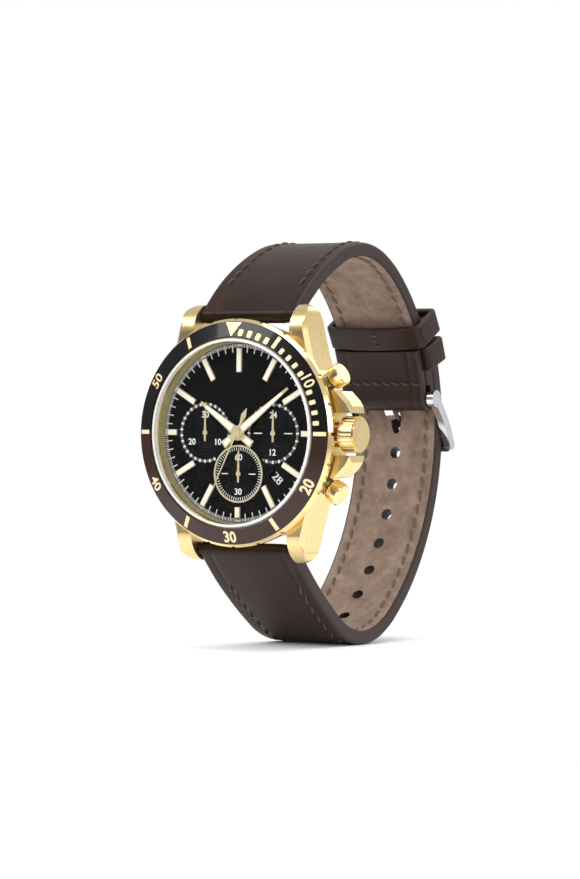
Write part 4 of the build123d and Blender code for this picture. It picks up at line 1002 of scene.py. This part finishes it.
# %% [markdown]
# ## Paste on the hour markers and hands
# The markers are gold blocks with a trough of paste on top, and the hour and minute hands carry a
# long strip of it, with a short one on each tail. Each strip rides on the hand that carries it.

# %% Paste
MARKER_TOP, PASTE_ROOT, PASTE_TOP = 8.95, 0.02, 0.06
SHORT_HOURS = [90, 180, 270]
marker_paste = joined([
    prisms(bar(0.9, length, 0.12), radius, at, MARKER_TOP - PASTE_ROOT, MARKER_TOP + PASTE_TOP)
    for length, radius, at in ((4.5, 14.37, np.setdiff1d(hours, SHORT_HOURS)), (1.9, 15.67, SHORT_HOURS))
])
piece("marker_paste", marker_paste[0], marker_paste[1], "case", (PRINTS["paste"],))

MINUTE_ANGLE = 52.8
HOUR_ANGLE = 10 * 30 + MINUTE_ANGLE / 12
HAND_PASTE_TOP = 0.05
TAIL_PASTE = np.array(((-0.5, -3.7), (-0.42, -2.0), (0.42, -2.0), (0.5, -3.7)))
HANDS = {   # clock angle, height of its face, and the strip's half width at two distances
    "hour": (HOUR_ANGLE, 9.12, ((1.6, 0.62), (9.2, 0.3))),
    "minute": (MINUTE_ANGLE, 9.42, ((1.35, 0.56), (13.2, 0.24))),
}
for hand, (angle, level, outline) in HANDS.items():
    left = np.array(outline)[:, ::-1] * (-1, 1)
    blade = np.concatenate((left, (left * (-1, 1))[::-1]))
    strips = joined([
        prisms(shape, 0.0, [angle], level - PASTE_ROOT, level + HAND_PASTE_TOP) for shape in (blade, TAIL_PASTE)
    ])
    piece(f"{hand}_hand_paste", strips[0], strips[1], hand, (PRINTS["paste"],))
print("paste laid")

# %% [markdown]
# ## Rim of the glass
# Seen from the side, the bevel of a thick watch glass and the white gasket under it make one bright
# ring. It is drawn as one opaque ring in the gasket's white: over the gasket that is its own colour,
# over the glass's bevel it is a painted reflection. It is a turned profile: each (radius, height)
# pair is swept round the dial's axis.

# %% Rim of the glass
def turned(profile, count=180):
    """Point = (r sin a, -h, r cos a) for every profile pair and every angle a."""
    radius, height = np.array(profile).T
    angle = np.linspace(0, 2 * np.pi, count, endpoint=False)[:, None]
    points = np.stack((radius * np.sin(angle), -height + 0 * angle, radius * np.cos(angle)), -1)
    columns = len(profile)
    faces = ring_faces(count, columns)
    last, first = np.arange(columns) + (count - 1) * columns, np.arange(columns)
    closing = np.stack((last, np.roll(last, -1), np.roll(first, -1), first), -1)
    return points.reshape(-1, 3), [np.concatenate((faces, closing))]


RIM = ((17.98, 11.95), (18.06, 12.03), (18.5, 11.86), (18.66, 11.4), (18.66, 11.1), (18.45, 11.1))
rim_points, rim_faces = turned(RIM)
# opaque white ring: the real gasket plus a painted reflection of the glass's bevel
piece("gasket_and_painted_glass_glint", rim_points, rim_faces, "case", (PLASTICS["gasket"],))
print("glass rim", len(rim_points), "points")

# %% [markdown]
# ## Floor, light and air
# A plain pale floor that fades into a pale sky, one large soft light from the upper left in front, a
# second along the crown side, one above and a weak one behind. Polished gold is only as good as what
# it mirrors, so reflections see a second, dimmer sky that grows brighter towards the far upper right,
# and the metal gets both bright and dim parts. The standard view transform keeps the gold's colour.

# %% Floor and light
FLOOR_Z = -42.75                # the strap's lowest point stands on it
FADE = (90, 240)                # distances from the watch where the floor starts and ends its fading


def studio_floor():
    """Matt white paint that fades out with distance from the watch, so that no horizon shows."""
    made = grained("studio_floor_white", ("#f6f6f6", "#fcfcfc"), (0.85, 0.95), 60.0, 0.001)
    tree = made.node_tree
    place = add(tree, "TexCoord").outputs["Object"]
    far = add(tree, "VectorMath", {0: place}, operation="LENGTH").outputs["Value"]
    fade = add(tree, "MapRange", {"Value": far, "From Min": FADE[0] * MM, "From Max": FADE[1] * MM}).outputs[0]
    painted = tree.nodes["Principled BSDF"].outputs[0]
    both = add(tree, "MixShader", {0: fade, 1: painted, 2: add(tree, "BsdfTransparent").outputs[0]}).outputs[0]
    tree.links.new(both, tree.nodes["Material Output"].inputs["Surface"])
    return made


floor_mesh = bpy.data.meshes.new("floor")
reach = 6000.0
corners = np.array(((-1, -1), (1, -1), (1, 1), (-1, 1))) * reach
corners = np.column_stack((corners, np.full(4, FLOOR_Z)))
floor_mesh.from_pydata((corners * MM).tolist(), [], [(0, 1, 2, 3)])
floor_mesh.materials.append(studio_floor())
floor = bpy.data.objects.new("floor", floor_mesh)
bpy.context.scene.collection.objects.link(floor)

world = bpy.data.worlds.new("studio")
bpy.context.scene.world = world
bpy.context.scene.view_settings.view_transform = "Standard"
world.use_nodes = True
air = world.node_tree
air.nodes.clear()
toward = add(air, "TexCoord").outputs["Generated"]
BRIGHT_SIDE = (0.46, 0.62, 0.63)
facing_sky = add(air, "VectorMath", {0: toward, 1: BRIGHT_SIDE}, operation="DOT_PRODUCT").outputs["Value"]
mirrored = add(air, "MapRange", {"Value": facing_sky, "From Min": -0.9, "From Max": 0.8,
                                 "To Min": 0.12, "To Max": 0.8})
dim = add(air, "Background", {"Color": (0.98, 0.98, 1, 1), "Strength": mirrored.outputs[0]}).outputs[0]
pale = add(air, "Background", {"Color": (1, 1, 1, 1), "Strength": 1.02}).outputs[0]
ray = add(air, "LightPath").outputs
sky = add(air, "MixShader", {0: ray["Is Glossy Ray"], 1: pale, 2: dim}).outputs[0]
add(air, "OutputWorld", {"Surface": sky})


def soft_light(name, place, size, watts, colour=(1, 1, 1)):
    """A square lamp of a given size, in millimetres, aimed at the watch."""
    lamp = bpy.data.lights.new(name, "AREA")
    lamp.size, lamp.energy, lamp.color = size * MM, watts, colour
    made = bpy.data.objects.new(name, lamp)
    bpy.context.scene.collection.objects.link(made)
    facing = np.array(place, float) - np.array((0, 15, 0))
    facing /= np.linalg.norm(facing)
    across = np.cross((0, 0, 1.0), facing)
    across /= np.linalg.norm(across)
    axes = np.column_stack((across, np.cross(facing, across), facing, np.array(place) * MM))
    made.matrix_world = Matrix(np.vstack((axes, (0, 0, 0, 1))).tolist())
    return made


soft_light("key", (-420, -620, 620), 420, 2.6, (1, 0.98, 0.95))
soft_light("crown_side", (760, -220, 220), 360, 1.5)
soft_light("above", (80, 60, 760), 420, 2.2)
soft_light("behind", (60, 700, 420), 400, 0.8)
print("floor and", len(bpy.data.lights), "lights")
